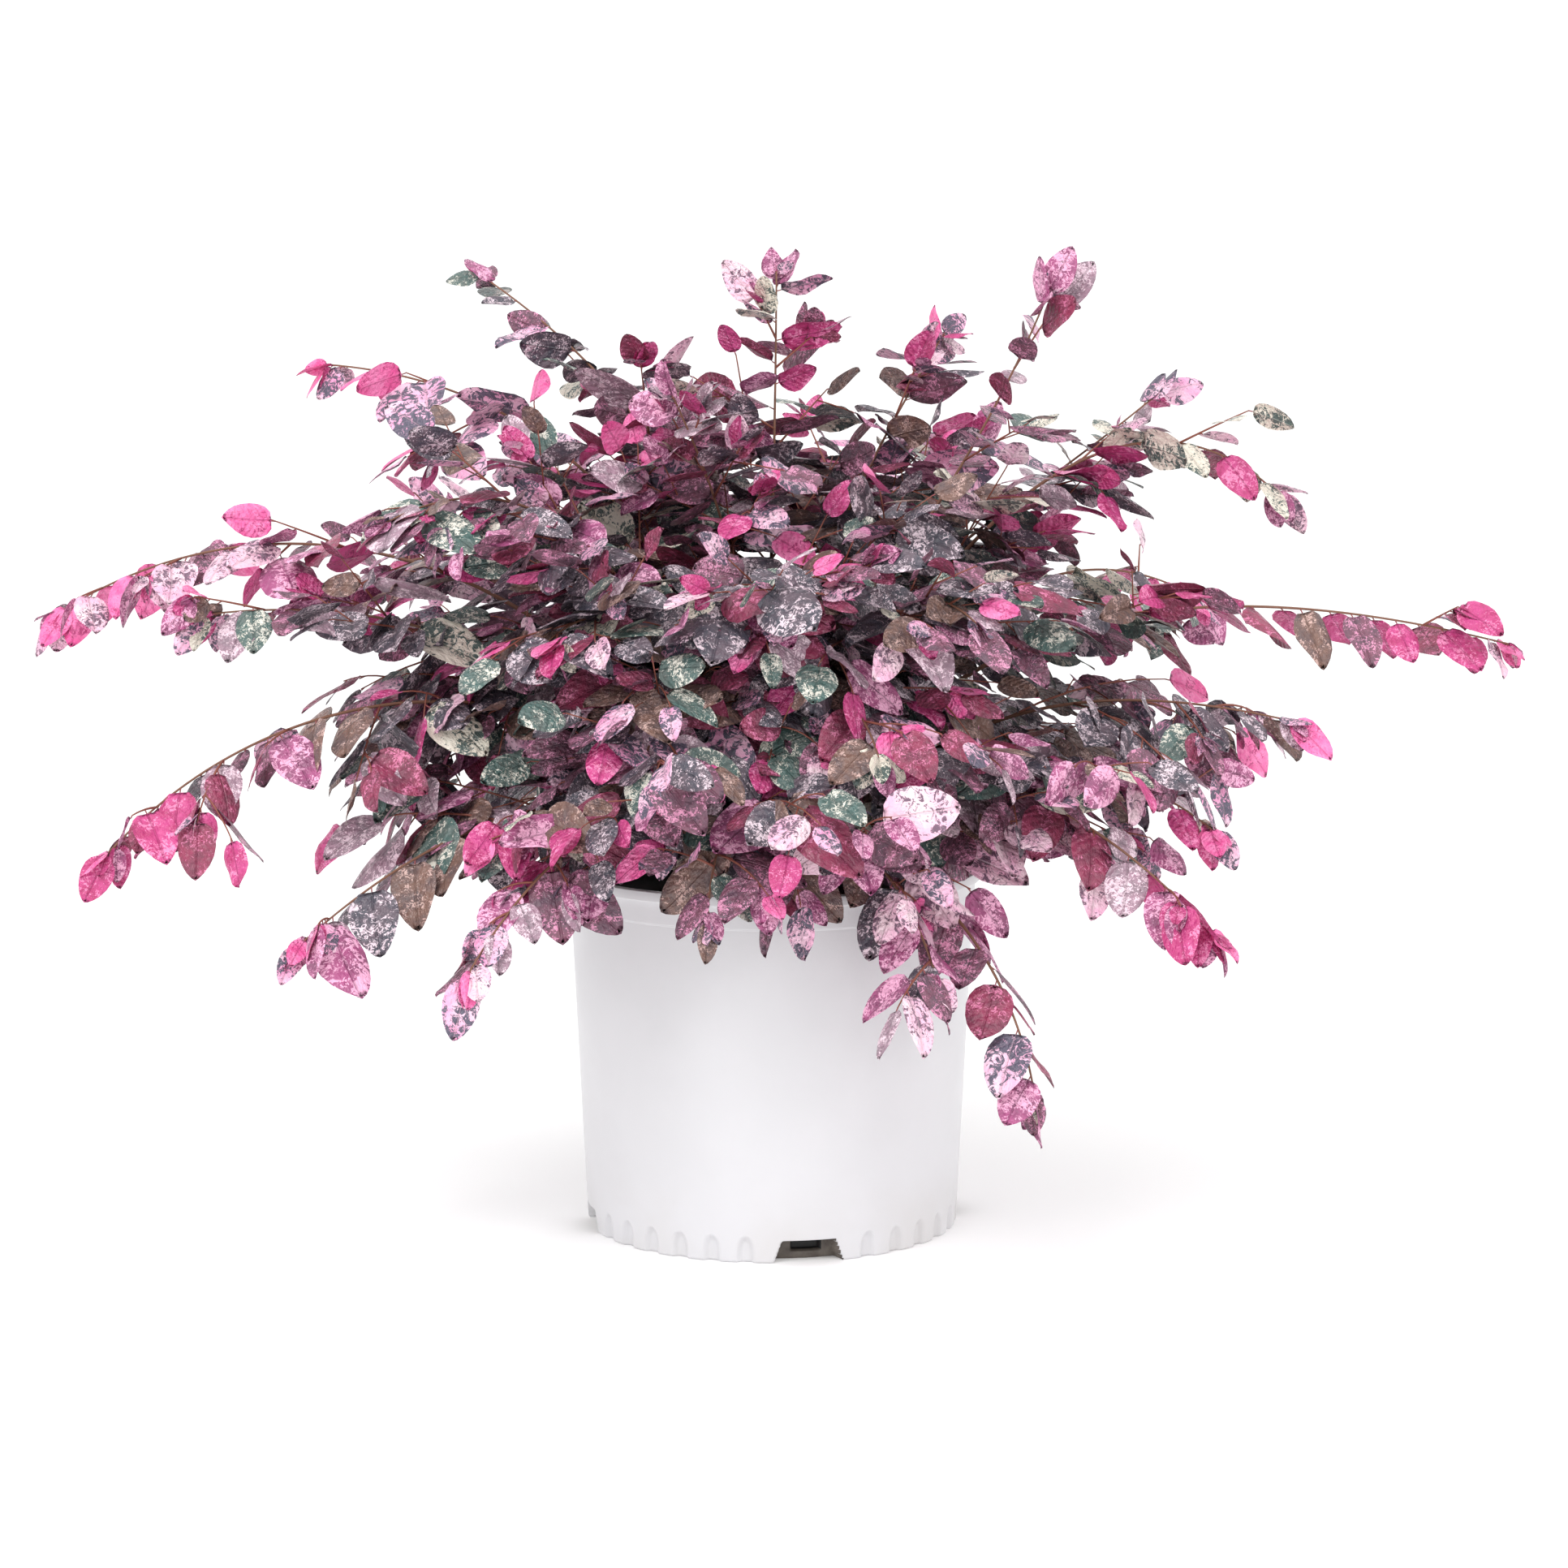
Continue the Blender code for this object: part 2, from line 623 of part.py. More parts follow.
def biggest_shell(mesh):
    """The mesh without loose scraps and sealed hollows: only its biggest closed surface stays."""
    shape = bmesh.new()
    shape.from_mesh(mesh)
    left = set(shape.verts)
    shells = []
    while left:
        shell, edge_of_search = set(), [left.pop()]
        while edge_of_search:
            vert = edge_of_search.pop()
            shell.add(vert)
            near = {edge.other_vert(vert) for edge in vert.link_edges} & left
            left -= near
            edge_of_search += near
        shells.append(shell)
    biggest = max(shells, key=len)
    dropped = [vert for shell in shells if shell is not biggest for vert in shell]
    bmesh.ops.delete(shape, geom=dropped, context="VERTS")
    shape.to_mesh(mesh)
    shape.free()


def twig_mesh(name, points, radii, collection, profile):
    """A three-sided twig as a closed mesh."""
    curve = tube(name, points, radii, collection, profile)
    mesh = applied_mesh(curve)
    weld_caps(mesh)
    bpy.data.objects.remove(curve)
    return add_mesh(name, mesh, collection)


def build_foliage(cane, index, space, parts, profile, blank, leafage):
    """One mass of foliage: a stem with its side shoots and leaves, joined as one solid."""
    rng = random.Random(FIRST_SEED + index)
    joined = new_collection("joined")
    (stem, stem_radii), *shoots = grow_twigs(cane, space, rng)
    mass = twig_mesh(f"foliage_{cane.name}", stem, stem_radii, parts, profile)
    frames = grow_leaves(cane, stem, space, rng, LEAF_SPACING)
    for points, radii in shoots:
        twig_mesh("shoot", points, radii, joined, profile)
        frames += grow_leaves(cane, points, space, rng, 1.5 * LEAF_SPACING)
    for frame in frames:
        leaf = add_mesh("leaf", blank, joined)
        leaf.matrix_world = frame
    boolean(mass, "UNION", joined)
    mesh = applied_mesh(mass)
    biggest_shell(mesh)
    mesh.materials.clear()
    mesh.materials.append(leafage)
    mass.modifiers.clear()
    mass.data = mesh
    for obj in list(joined.objects):
        bpy.data.objects.remove(obj)
    bpy.data.collections.remove(joined)
    return len(frames)


def main():
    clear_scene()
    parts = new_collection("potted_fringe_flower")
    cutters = new_collection("cutters")
    bark = plain_material("bark", (0.195, 0.105, 0.068), 0.8)
    leafage = plain_material("foliage", (0.22, 0.055, 0.11), 0.6)
    space = Space(CANES)
    profile = twig_profile(cutters)
    blank = leaf_blank()
    leaves = 0
    for index, cane in enumerate(CANES):
        if cane.tier != TOP_TIER:
            build_bough(cane, parts, bark)
        leaves += build_foliage(cane, index, space, parts, profile, blank, leafage)
    bpy.data.meshes.remove(blank)
    build_stem(parts, bark)
    build_soil(parts, cutters)
    build_pot(parts, cutters)
    print(f"{leaves} leaves on {len(CANES)} canes")


main()
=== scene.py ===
"""The looks of a potted Chinese fringe flower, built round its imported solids.

Laid out as a Blender add-on and run as a script. Lengths are in metres and +Z is up. The pot, the
potting soil, the stem and the canes stand where the solids stand. Each mass of foliage becomes twigs
and leaves that grow on from the limbs by the same rule as the solids, carried to finer twigs.
"""

import math
from typing import NamedTuple

import bpy
import numpy as np
from bpy.props import (
    FloatProperty,
    FloatVectorProperty,
    IntProperty,
    PointerProperty,
)
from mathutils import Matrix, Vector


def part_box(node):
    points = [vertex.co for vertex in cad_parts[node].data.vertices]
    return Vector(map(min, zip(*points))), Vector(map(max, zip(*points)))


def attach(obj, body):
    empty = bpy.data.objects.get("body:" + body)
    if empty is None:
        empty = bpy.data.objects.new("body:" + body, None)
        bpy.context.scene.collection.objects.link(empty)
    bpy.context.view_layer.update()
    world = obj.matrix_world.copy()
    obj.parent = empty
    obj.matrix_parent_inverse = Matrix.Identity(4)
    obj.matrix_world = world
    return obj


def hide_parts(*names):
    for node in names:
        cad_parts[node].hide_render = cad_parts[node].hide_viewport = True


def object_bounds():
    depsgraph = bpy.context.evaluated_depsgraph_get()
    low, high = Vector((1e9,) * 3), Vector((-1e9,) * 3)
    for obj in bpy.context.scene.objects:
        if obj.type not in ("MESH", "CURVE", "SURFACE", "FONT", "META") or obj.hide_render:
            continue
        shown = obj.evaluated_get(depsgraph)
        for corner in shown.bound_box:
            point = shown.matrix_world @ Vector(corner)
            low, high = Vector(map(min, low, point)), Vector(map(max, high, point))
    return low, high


bl_info = {
    "name": "Potted fringe flower",
    "version": (1, 0, 0),
    "blender": (4, 5, 0),
    "location": "View3D > Sidebar > Fringe flower",
    "description": "Builds the pot, soil, canes, leaves and stage of a potted fringe flower",
    "category": "Add Mesh",
}

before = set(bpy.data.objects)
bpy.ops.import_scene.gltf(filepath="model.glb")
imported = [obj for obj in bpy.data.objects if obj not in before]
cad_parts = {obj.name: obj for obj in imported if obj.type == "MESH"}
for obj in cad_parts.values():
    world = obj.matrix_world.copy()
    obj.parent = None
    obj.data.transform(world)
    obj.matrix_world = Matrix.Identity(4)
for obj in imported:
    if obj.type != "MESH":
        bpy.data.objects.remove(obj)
CAD_BOX = [list(corner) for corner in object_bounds()]
BODY = "root"
POT_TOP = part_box("pot")[1].z
SOIL_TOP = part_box("potting_soil")[1].z
STEM_FOOT, STEM_TOP = (corner.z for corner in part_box("stem"))

# Pot
RIM_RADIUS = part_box("pot")[1].x
BAND_RADIUS = RIM_RADIUS - 0.0038
BODY_RADIUS = RIM_RADIUS - 0.0050
BASE_RADIUS = RIM_RADIUS - 0.0155
BAND_BOTTOM = POT_TOP - 0.0215
WALL = 0.002
EDGE_ROUNDING = 0.0007
POT_STEPS = 720
POCKETS = 4
FIRST_POCKET = math.radians(-90 + 11.2)
POCKET_WIDTH = 0.046
POCKET_TOP_WIDTH = 0.035
POCKET_HEIGHT = 0.015
POCKET_DEPTH = 0.012
POCKET_EDGE = 0.0009
DRAIN_WIDTH = 0.022
DRAIN_BOTTOM = 0.005
DRAIN_HEIGHT = 0.007
DRAIN_DEPTH = 0.006
FLUTES_PER_QUARTER = 6
FIRST_FLUTE = math.radians(19.0)
FLUTE_PITCH = math.radians(10.4)
FLUTE_WIDTH = 0.0116
FLUTE_HEIGHT = 0.0184
SOIL_FLOOR = SOIL_TOP - 0.02
SOIL_SAG = 0.003

# Stem and canes, by the same rule as the solids
STEM_FLARE_RADIUS = 0.0200
STEM_RADIUS = 0.0140
STEM_TOP_RADIUS = 0.0125
STEM_FLARE_FALL = 0.006
TIERS = (0.008, 0.018, 0.028, 0.038)
TOP_TIER = 4
TOP_TIER_RADIUS = 0.0082
GAP = 0.0003
SEAT_RADIUS = 0.0024
CANE_RADIUS = 0.0026
CANE_TIP_RADIUS = 0.0006
HANDLE = 0.42
BOUGH_PART = 0.27
LINE_STEPS = 48

# Leaves
BASE_FULLNESS = 0.40  # lower is blunter
TIP_FULLNESS = 0.66
WIDEST = BASE_FULLNESS / (BASE_FULLNESS + TIP_FULLNESS)
TUFT = ((0.0, 0.34), (0.002, 0.42), (0.004, 0.48), (0.007, 0.55), (0.011, 0.62))  # place, size
TUFT_PART = 1.5  # marks a tuft's leaves, past the end of the twig
BLADE_ROWS = 9
BLADE_COLUMNS = 6
CELL_COLUMNS = 8
CELL_ROWS = 5
CELL_MARGIN = 0.04
PATTERN_MAP = "OFBake"
BLADE_MAP = "blade"
UP = np.array([0.0, 0.0, 1.0])

# The dense part of the crown: an ellipsoid that is cut off level above the pot
MOUND_MIDDLE = 0.37
MOUND_REACH = (0.325, 0.290)
MOUND_RISE = 0.235
MOUND_DROP = 0.165
MOUND_FLOOR = 0.262
UNDER_FLOOR = 9.0  # added to the level of what is under the mound's floor
THINNER_RIGHT = 0.50  # the part of the shoots that the canes to the right go without
SPROUT_LIFT = 0.9  # how much a shoot past the mound may turn up
SPROUTING = (0.50, 0.15)  # how often one grows there, on a cane and on a shoot
SPROUT_LENGTHS = (0.020, 0.060)
TWIGLET_LENGTHS = (0.018, 0.042)
TWIGLET_SPACING = 0.032
CROWN_MIDDLE = (0.0, 0.0, 0.33)
CROWN_REACH = (0.46, 0.36, 0.30)
SPRAY_LIKENESS = 0.55  # how many of a spray's leaves take its own colouring

# Camera
CAMERA_PLACE = (0.008, -2.39, 0.598)
CAMERA_PITCH = math.radians(90 - 7.2)
CAMERA_LENS = 82.7


class Cane(NamedTuple):
    """One cane: where it points, where its tip is and how it bends on the way."""

    name: str
    azimuth: float
    reach: float
    height: float
    launch: float
    finish: float
    tier: int


CANES = (
    Cane("left_long", 180, 0.476, 0.410, 64, -32, 2),
    Cane("left_high", 166, 0.312, 0.574, 83, 4, 3),
    Cane("left_top", 151, 0.228, 0.634, 85, 30, 4),
    Cane("left_shoulder", 209, 0.275, 0.478, 72, -25, 2),
    Cane("left_middle", 191, 0.375, 0.415, 54, -6, 0),
    Cane("left_low", 201, 0.445, 0.272, 60, -46, 1),
    Cane("left_hanging", 214, 0.352, 0.220, 50, -36, 0),
    Cane("front_left_low", 233, 0.305, 0.210, 54, -46, 1),
    Cane("front_left_high", 228, 0.215, 0.400, 77, -36, 3),
    Cane("front_left_middle", 247, 0.205, 0.330, 68, -50, 4),
    Cane("front_middle", 260, 0.225, 0.240, 66, -66, 0),
    Cane("front_high", 272, 0.170, 0.430, 80, -25, 3),
    Cane("front_right_middle", 289, 0.205, 0.335, 68, -48, 4),
    Cane("front_right_high", 309, 0.205, 0.415, 77, -32, 3),
    Cane("front_right_short", 297, 0.228, 0.196, 52, -58, 1),
    Cane("front_right_hanging", 308, 0.265, 0.125, 50, -78, 0),
    Cane("right_hanging", 324, 0.338, 0.226, 60, -42, 2),
    Cane("right_low", 338, 0.305, 0.280, 50, -36, 0),
    Cane("right_middle", 348, 0.345, 0.346, 54, -12, 1),
    Cane("right_long", 0, 0.490, 0.390, 62, -14, 2),
    Cane("right_arching", 13, 0.355, 0.486, 71, -42, 3),
    Cane("right_top", 24, 0.290, 0.552, 78, 36, 4),
    Cane("right_upright", 352, 0.182, 0.622, 77, 68, 4),
    Cane("top_middle", 85, 0.034, 0.636, 88, 86, 4),
    Cane("top_back", 50, 0.185, 0.594, 84, 46, 4),
    Cane("top_left", 228, 0.095, 0.556, 85, 56, 4),
    Cane("back_right", 38, 0.400, 0.400, 60, -26, 1),
    Cane("back_right_low", 60, 0.330, 0.235, 52, -44, 0),
    Cane("back_high", 78, 0.300, 0.500, 76, -8, 3),
    Cane("back_middle", 96, 0.420, 0.360, 58, -34, 1),
    Cane("back_left_low", 122, 0.340, 0.240, 52, -42, 0),
    Cane("back_left", 140, 0.410, 0.410, 62, -24, 2),
)


class Accent(NamedTuple):
    """A stretch of one cane whose leaves mostly have the same few colourings."""

    cane: str
    start: float
    end: float
    finishes: tuple


ACCENTS = (
    Accent("right_long", 0.42, 0.93, ("magenta", "wine", "magenta")),
    Accent("right_long", 0.93, 2.0, ("pale_pink", "hot_pink")),
    Accent("right_arching", 0.40, 2.0, ("cream", "pale_pink", "cream", "magenta")),
    Accent("front_right_hanging", 0.0, 2.0, ("plum", "wine", "plum", "rose")),
    Accent("front_right_short", 0.50, 2.0, ("rose", "pale_pink")),
    Accent("left_low", 0.80, 2.0, ("wine", "magenta")),
    Accent("left_long", 0.35, 2.0, ("hot_pink", "pale_pink", "rose")),
    Accent("left_high", 0.45, 2.0, ("marbled", "hot_pink")),
    Accent("right_hanging", 0.70, 2.0, ("magenta", "rose")),
)
ACCENT_CHANCE = 0.8
UNBRANCHED = ("front_right_hanging",)


class LeafFinish(NamedTuple):
    """One colouring of the leaves: its two ground colours, its flecks and how much they cover."""

    name: str
    ground: tuple
    second: tuple
    fleck: tuple
    cover: float
    fleck_scale: float


LEAF_FINISHES = (
    LeafFinish("slate", (76, 75, 86), (104, 90, 100), (232, 212, 222), 0.30, 84),
    LeafFinish("dark_green", (80, 106, 102), (98, 110, 106), (232, 228, 216), 0.30, 80),
    LeafFinish("umber", (128, 98, 88), (104, 86, 86), (206, 172, 164), 0.22, 90),
    LeafFinish("plum", (126, 80, 98), (100, 76, 90), (222, 150, 184), 0.30, 90),
    LeafFinish("wine", (150, 60, 90), (122, 62, 82), (216, 124, 162), 0.22, 84),
    LeafFinish("ash", (150, 128, 140), (170, 134, 152), (240, 214, 226), 0.36, 90),
    LeafFinish("marbled", (246, 204, 224), (238, 158, 200), (92, 86, 104), 0.50, 34),
    LeafFinish("rose", (138, 80, 112), (172, 84, 132), (240, 176, 208), 0.44, 60),
    LeafFinish("pale_pink", (248, 218, 228), (242, 184, 212), (120, 92, 112), 0.34, 44),
    LeafFinish("cream", (244, 238, 222), (234, 222, 208), (88, 104, 100), 0.40, 50),
    LeafFinish("magenta", (182, 56, 112), (204, 74, 138), (238, 140, 186), 0.28, 66),
    LeafFinish("hot_pink", (238, 92, 160), (252, 142, 194), (192, 68, 126), 0.18, 56),
)

# How often each finish comes, in the order above: deep inside, on the crown's face, at its edge
# and at the tips of its twigs.
INSIDE = (0.38, 0.13, 0.17, 0.14, 0.05, 0.05, 0.02, 0.02, 0.01, 0.03, 0.00, 0.00)
FACE = (0.28, 0.08, 0.09, 0.19, 0.11, 0.06, 0.06, 0.07, 0.01, 0.03, 0.02, 0.00)
EDGE = (0.04, 0.01, 0.03, 0.08, 0.09, 0.13, 0.20, 0.15, 0.10, 0.04, 0.09, 0.04)
TIPS = (0.00, 0.00, 0.01, 0.04, 0.09, 0.04, 0.19, 0.16, 0.10, 0.03, 0.21, 0.13)


class Twig(NamedTuple):
    """A twig's points and radii, its order from the cane's own stem, how far out it starts, its cane."""

    points: np.ndarray
    radii: np.ndarray
    order: int
    out: float
    azimuth: float
    cane: int


def linear(screen):
    """The scene-linear colour of a screen colour given as three numbers to 255."""
    value = np.array(screen) / 255
    low, high = value / 12.92, ((value + 0.055) / 1.055) ** 2.4
    return tuple(np.where(value <= 0.04045, low, high))


def smooth_step(value):
    """0 below 0, 1 above 1, and the cubic 3t^2 - 2t^3 between."""
    t = np.clip(value, 0, 1)
    return t * t * (3 - 2 * t)


def unit(vectors):
    return vectors / np.maximum(np.linalg.norm(vectors, axis=-1, keepdims=True), 1e-9)


def ripple(a, b, seed, waves=7, lowest=1.0, highest=6.0):
    """A smooth random height over two parameters: the mean of sine waves in random directions."""
    rng = np.random.default_rng(seed)
    total = np.zeros(np.broadcast(a, b).shape)
    for _ in range(waves):
        turn, shift = rng.uniform(0, math.tau, 2)
        pitch = rng.uniform(lowest, highest)
        total += np.sin(pitch * (a * math.cos(turn) + b * math.sin(turn)) + shift)
    return total / math.sqrt(waves)


def grid_faces(rows, columns, closed=False, first=0):
    """The quads of a grid of points in row order, joined round from last column to first if closed."""
    index = np.arange(rows * columns).reshape(rows, columns) + first
    if closed:
        index = np.hstack([index, index[:, :1]])
    corners = (index[:-1, :-1], index[:-1, 1:], index[1:, 1:], index[1:, :-1])
    return np.stack(corners, axis=-1).reshape(-1, 4)


def cap_faces(ring, pole, upward):
    """The triangles that join a ring of points to one pole."""
    after = np.roll(ring, -1)
    pair = (ring, after) if upward else (after, ring)
    return np.stack([*pair, np.full(len(ring), pole)], axis=-1)


def closed_faces(rows, steps, first=0):
    """The faces of rings closed to two poles: sides, low end, high end. The poles follow the rings."""
    ring, poles = np.arange(steps) + first, first + rows * steps
    ends = [cap_faces(ring, poles, False), cap_faces(ring + (rows - 1) * steps, poles + 1, True)]
    return [grid_faces(rows, steps, closed=True, first=first), *ends]


def add_piece(name, points, faces, materials, maps=None, face_material=None):
    """A piece of the plant: its mesh from arrays of points and faces, smooth, riding on the plant."""
    mesh = bpy.data.meshes.new(name)
    points = np.asarray(points, np.float32)
    corners = np.concatenate([part.ravel() for part in faces]).astype(np.int32)
    sizes = np.concatenate([np.full(len(part), part.shape[1]) for part in faces])
    mesh.vertices.add(len(points))
    mesh.vertices.foreach_set("co", points.ravel())
    mesh.loops.add(len(corners))
    mesh.loops.foreach_set("vertex_index", corners)
    mesh.polygons.add(len(sizes))
    mesh.polygons.foreach_set("loop_start", (np.cumsum(sizes) - sizes).astype(np.int32))
    mesh.polygons.foreach_set("use_smooth", np.ones(len(sizes), bool))
    if face_material is not None:
        mesh.polygons.foreach_set("material_index", face_material.astype(np.int32))
    for label, places in (maps or {}).items():
        layer = mesh.uv_layers.new(name=label)
        layer.uv.foreach_set("vector", places[corners].astype(np.float32).ravel())
    mesh.update(calc_edges=True)
    mesh.validate()
    for material in materials:
        mesh.materials.append(material)
    piece = bpy.data.objects.new(name, mesh)
    bpy.context.scene.collection.objects.link(piece)
    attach(piece, BODY)
    return piece


class Nodes:
    """A material under construction, with short calls for its nodes and links."""

    def __init__(self, name, roughness=0.5, color=None):
        self.material = bpy.data.materials.new(name)
        self.material.use_nodes = True
        self.tree = self.material.node_tree
        self.shader = self.tree.nodes["Principled BSDF"]
        self.shader.inputs["Roughness"].default_value = roughness
        if color:
            self.shader.inputs["Base Color"].default_value = (*color, 1)

    def node(self, kind, inputs=None, **settings):
        made = self.tree.nodes.new(kind)
        for key, value in settings.items():
            setattr(made, key, value)
        for key, value in (inputs or {}).items():
            if isinstance(value, bpy.types.NodeSocket):
                self.tree.links.new(value, made.inputs[key])
            else:
                made.inputs[key].default_value = value
        return made

    def object_place(self):
        return self.node("ShaderNodeTexCoord").outputs["Object"]

    def noise(self, place, scale, detail=3.0, roughness=0.55, distortion=0.0):
        inputs = {
            "Vector": place,
            "Scale": scale,
            "Detail": detail,
            "Roughness": roughness,
            "Distortion": distortion,
        }
        return self.node("ShaderNodeTexNoise", inputs).outputs["Fac"]

    def ramp(self, value, low, high, start=0.0, end=1.0):
        """The value carried from low..high to start..end, and held there outside."""
        inputs = {"Value": value, "From Min": low, "From Max": high, "To Min": start, "To Max": end}
        return self.node("ShaderNodeMapRange", inputs).outputs["Result"]

    def math(self, operation, a, b=0.0):
        return self.node("ShaderNodeMath", {0: a, 1: b}, operation=operation).outputs[0]

    def mix(self, amount, a, b):
        """Two colours mixed by the amount of the second."""
        a = a if isinstance(a, bpy.types.NodeSocket) else (*a, 1)
        b = b if isinstance(b, bpy.types.NodeSocket) else (*b, 1)
        made = self.node("ShaderNodeMix", data_type="RGBA")
        for key, value in ((0, amount), (6, a), (7, b)):
            if isinstance(value, bpy.types.NodeSocket):
                self.tree.links.new(value, made.inputs[key])
            else:
                made.inputs[key].default_value = value
        return made.outputs[2]

    def finish(self, color=None, roughness=None, height=None, depth=0.001, strength=0.5):
        """Joins the colour, roughness and relief to the shader."""
        if color is not None:
            self.tree.links.new(color, self.shader.inputs["Base Color"])
        if roughness is not None:
            self.tree.links.new(roughness, self.shader.inputs["Roughness"])
        if height is not None:
            inputs = {"Height": height, "Distance": depth, "Strength": strength}
            bump = self.node("ShaderNodeBump", inputs)
            self.tree.links.new(bump.outputs["Normal"], self.shader.inputs["Normal"])
        return self.material


def pot_plastic(white):
    """Satin white plastic with faint clouding, and dust towards its foot."""
    m = Nodes("pot_plastic", 0.34)
    place = m.object_place()
    cloud = m.noise(place, 14, 4)
    fine = m.noise(place, 420, 2)
    height = m.node("ShaderNodeSeparateXYZ", {0: place}).outputs["Z"]
    dust = m.math("MULTIPLY", m.ramp(height, 0.05, 0.0), m.ramp(cloud, 0.40, 0.75))
    tone = m.mix(m.ramp(cloud, 0.35, 0.7, 0, 0.5), white, tuple(0.93 * c for c in white))
    color = m.mix(m.math("MULTIPLY", dust, 0.35), tone, linear((196, 188, 178)))
    rough = m.ramp(cloud, 0.3, 0.7, 0.28, 0.42)
    return m.finish(color, rough, m.math("ADD", fine, cloud), 0.0002, 0.25)


def lining_and_shade_tones(name, dark, light, scale):
    """Two clouded tones: bare dark plastic inside the pot, also used as painted shade on the drain dents,
    and painted shade in the pockets.
    """
    m = Nodes(name)
    cloud = m.noise(m.object_place(), scale, 4)
    color = m.mix(m.ramp(cloud, 0.35, 0.7), linear(dark), linear(light))
    return m.finish(color, None, cloud, 0.0002, 0.3)


def soil_earth():
    """Dark composted bark with paler crumbs."""
    m = Nodes("soil_earth", 0.9)
    place = m.object_place()
    crumb = m.noise(place, 160, 6, 0.7)
    cell = m.node("ShaderNodeTexVoronoi", {"Vector": place, "Scale": 220.0}).outputs["Distance"]
    tone = m.mix(m.ramp(crumb, 0.35, 0.7), linear((34, 25, 20)), linear((74, 55, 42)))
    color = m.mix(m.ramp(crumb, 0.68, 0.74), tone, linear((150, 132, 108)))
    return m.finish(color, None, m.math("ADD", crumb, cell), 0.002, 0.8)


def bark(name, dark, light, depth):
    """Thin brown bark with lengthwise cracks and paler flakes."""
    m = Nodes(name, 0.75)
    place = m.object_place()
    squeeze = m.node("ShaderNodeMapping", {"Vector": place, "Scale": (1.0, 1.0, 0.22)})
    grain = m.noise(squeeze.outputs[0], 420, 5, 0.65)
    flake = m.noise(place, 160, 4)
    tone = m.mix(m.ramp(grain, 0.35, 0.68), dark, light)
    color = m.mix(m.ramp(flake, 0.60, 0.72, 0, 0.5), tone, linear((158, 134, 112)))
    return m.finish(color, None, m.math("ADD", grain, flake), depth, 0.8)


def twig_bark(name, screen, roughness):
    """The thin skin of twigs and leaf stalks: one colour with fine relief."""
    m = Nodes(name, roughness, linear(screen))
    grain = m.noise(m.object_place(), 700, 3)
    return m.finish(None, None, grain, 0.0004, 0.5)


def leaf_material(finish):
    """A quilted leaf. Clouds mix its two grounds, flecks lie over them, and the veins are sunk and
    darkened, which is painted shade.

    Clouds and flecks are noise on the pattern map, where every leaf has one of a few dozen cells.
    The blade map runs along the leaf and from its midrib to its edge, which is what veins follow.
    """
    m = Nodes(f"leaf_{finish.name}", 0.42)
    pattern = m.node("ShaderNodeUVMap", uv_map=PATTERN_MAP).outputs[0]
    blade = m.node("ShaderNodeUVMap", uv_map=BLADE_MAP).outputs[0]
    split = m.node("ShaderNodeSeparateXYZ", {0: blade})
    across = m.math("ABSOLUTE", m.math("SUBTRACT", split.outputs[0], 0.5))
    slanted = m.math("SUBTRACT", split.outputs[1], m.math("MULTIPLY", across, 0.55))
    saw = m.math("PINGPONG", m.math("MULTIPLY", slanted, 7.0), 0.5)
    side_vein = m.ramp(saw, 0.0, 0.10, 1, 0)
    midrib = m.ramp(across, 0.008, 0.030, 1, 0)
    vein_shade = m.math("MAXIMUM", m.math("MULTIPLY", side_vein, 0.35), midrib)
    cloud = m.noise(pattern, finish.fleck_scale / 4, 3)
    fleck = m.noise(pattern, finish.fleck_scale, 6, 0.72, 1.4)
    patch = m.noise(pattern, finish.fleck_scale / 5, 2)
    uneven = m.math("ADD", fleck, m.math("MULTIPLY", m.math("SUBTRACT", patch, 0.5), 0.55))
    edge = 0.5 + 0.15 * (0.5 - finish.cover) * 2
    spots = m.ramp(uneven, edge - 0.008, edge + 0.012)
    ground = m.mix(m.ramp(cloud, 0.38, 0.62), linear(finish.ground), linear(finish.second))
    spotted = m.mix(spots, ground, linear(finish.fleck))
    # Painted shade: the sunken veins are darkened to three quarters of the ground colour.
    sunken_vein_shade = tuple(0.75 * c for c in linear(finish.ground))
    color = m.mix(m.math("MULTIPLY", vein_shade, 0.35), spotted, sunken_vein_shade)
    rough = m.ramp(cloud, 0.3, 0.7, 0.30, 0.46)
    swell = m.ramp(saw, 0.0, 0.42)
    pucker = m.noise(blade, 9.0, 2)
    relief = m.math("SUBTRACT", m.math("MULTIPLY", swell, 0.5), m.math("MULTIPLY", midrib, 0.8))
    relief = m.math("ADD", relief, m.math("MULTIPLY", pucker, 2.6))
    return m.finish(color, rough, relief, 0.0013, 0.75)


class PotSettings(bpy.types.PropertyGroup):
    """The nursery pot and its soil."""

    lip_height: FloatProperty(
        name="Lip height", description="Height of the lip round the rim", default=0.007, unit="LENGTH"
    )
    flute_depth: FloatProperty(
        name="Flute depth",
        description="How far the flutes round the foot are pressed in",
        default=0.0030,
        unit="LENGTH",
    )
    white: FloatVectorProperty(
        name="Plastic", description="Colour of the outside", default=(0.68, 0.675, 0.695), subtype="COLOR"
    )
    chips: IntProperty(name="Bark chips", description="Chips of bark on the soil", default=700)


class ShrubSettings(bpy.types.PropertyGroup):
    """How the shrub branches."""

    shoots: IntProperty(name="Side shoots", description="Side shoots on each cane", default=13)
    shoot_length: FloatProperty(
        name="Shoot length",
        description="Length of the lowest side shoots",
        default=0.15,
        unit="LENGTH",
    )
    shoot_shortest: FloatProperty(
        name="Shortest shoot",
        description="Length of the side shoots near a cane's tip",
        default=0.022,
        unit="LENGTH",
    )
    spread: FloatProperty(
        name="Spread",
        description="Angle between a side shoot and its cane",
        default=math.radians(50),
        subtype="ANGLE",
    )
    seed: IntProperty(name="Seed", description="Start of the random draws", default=11)


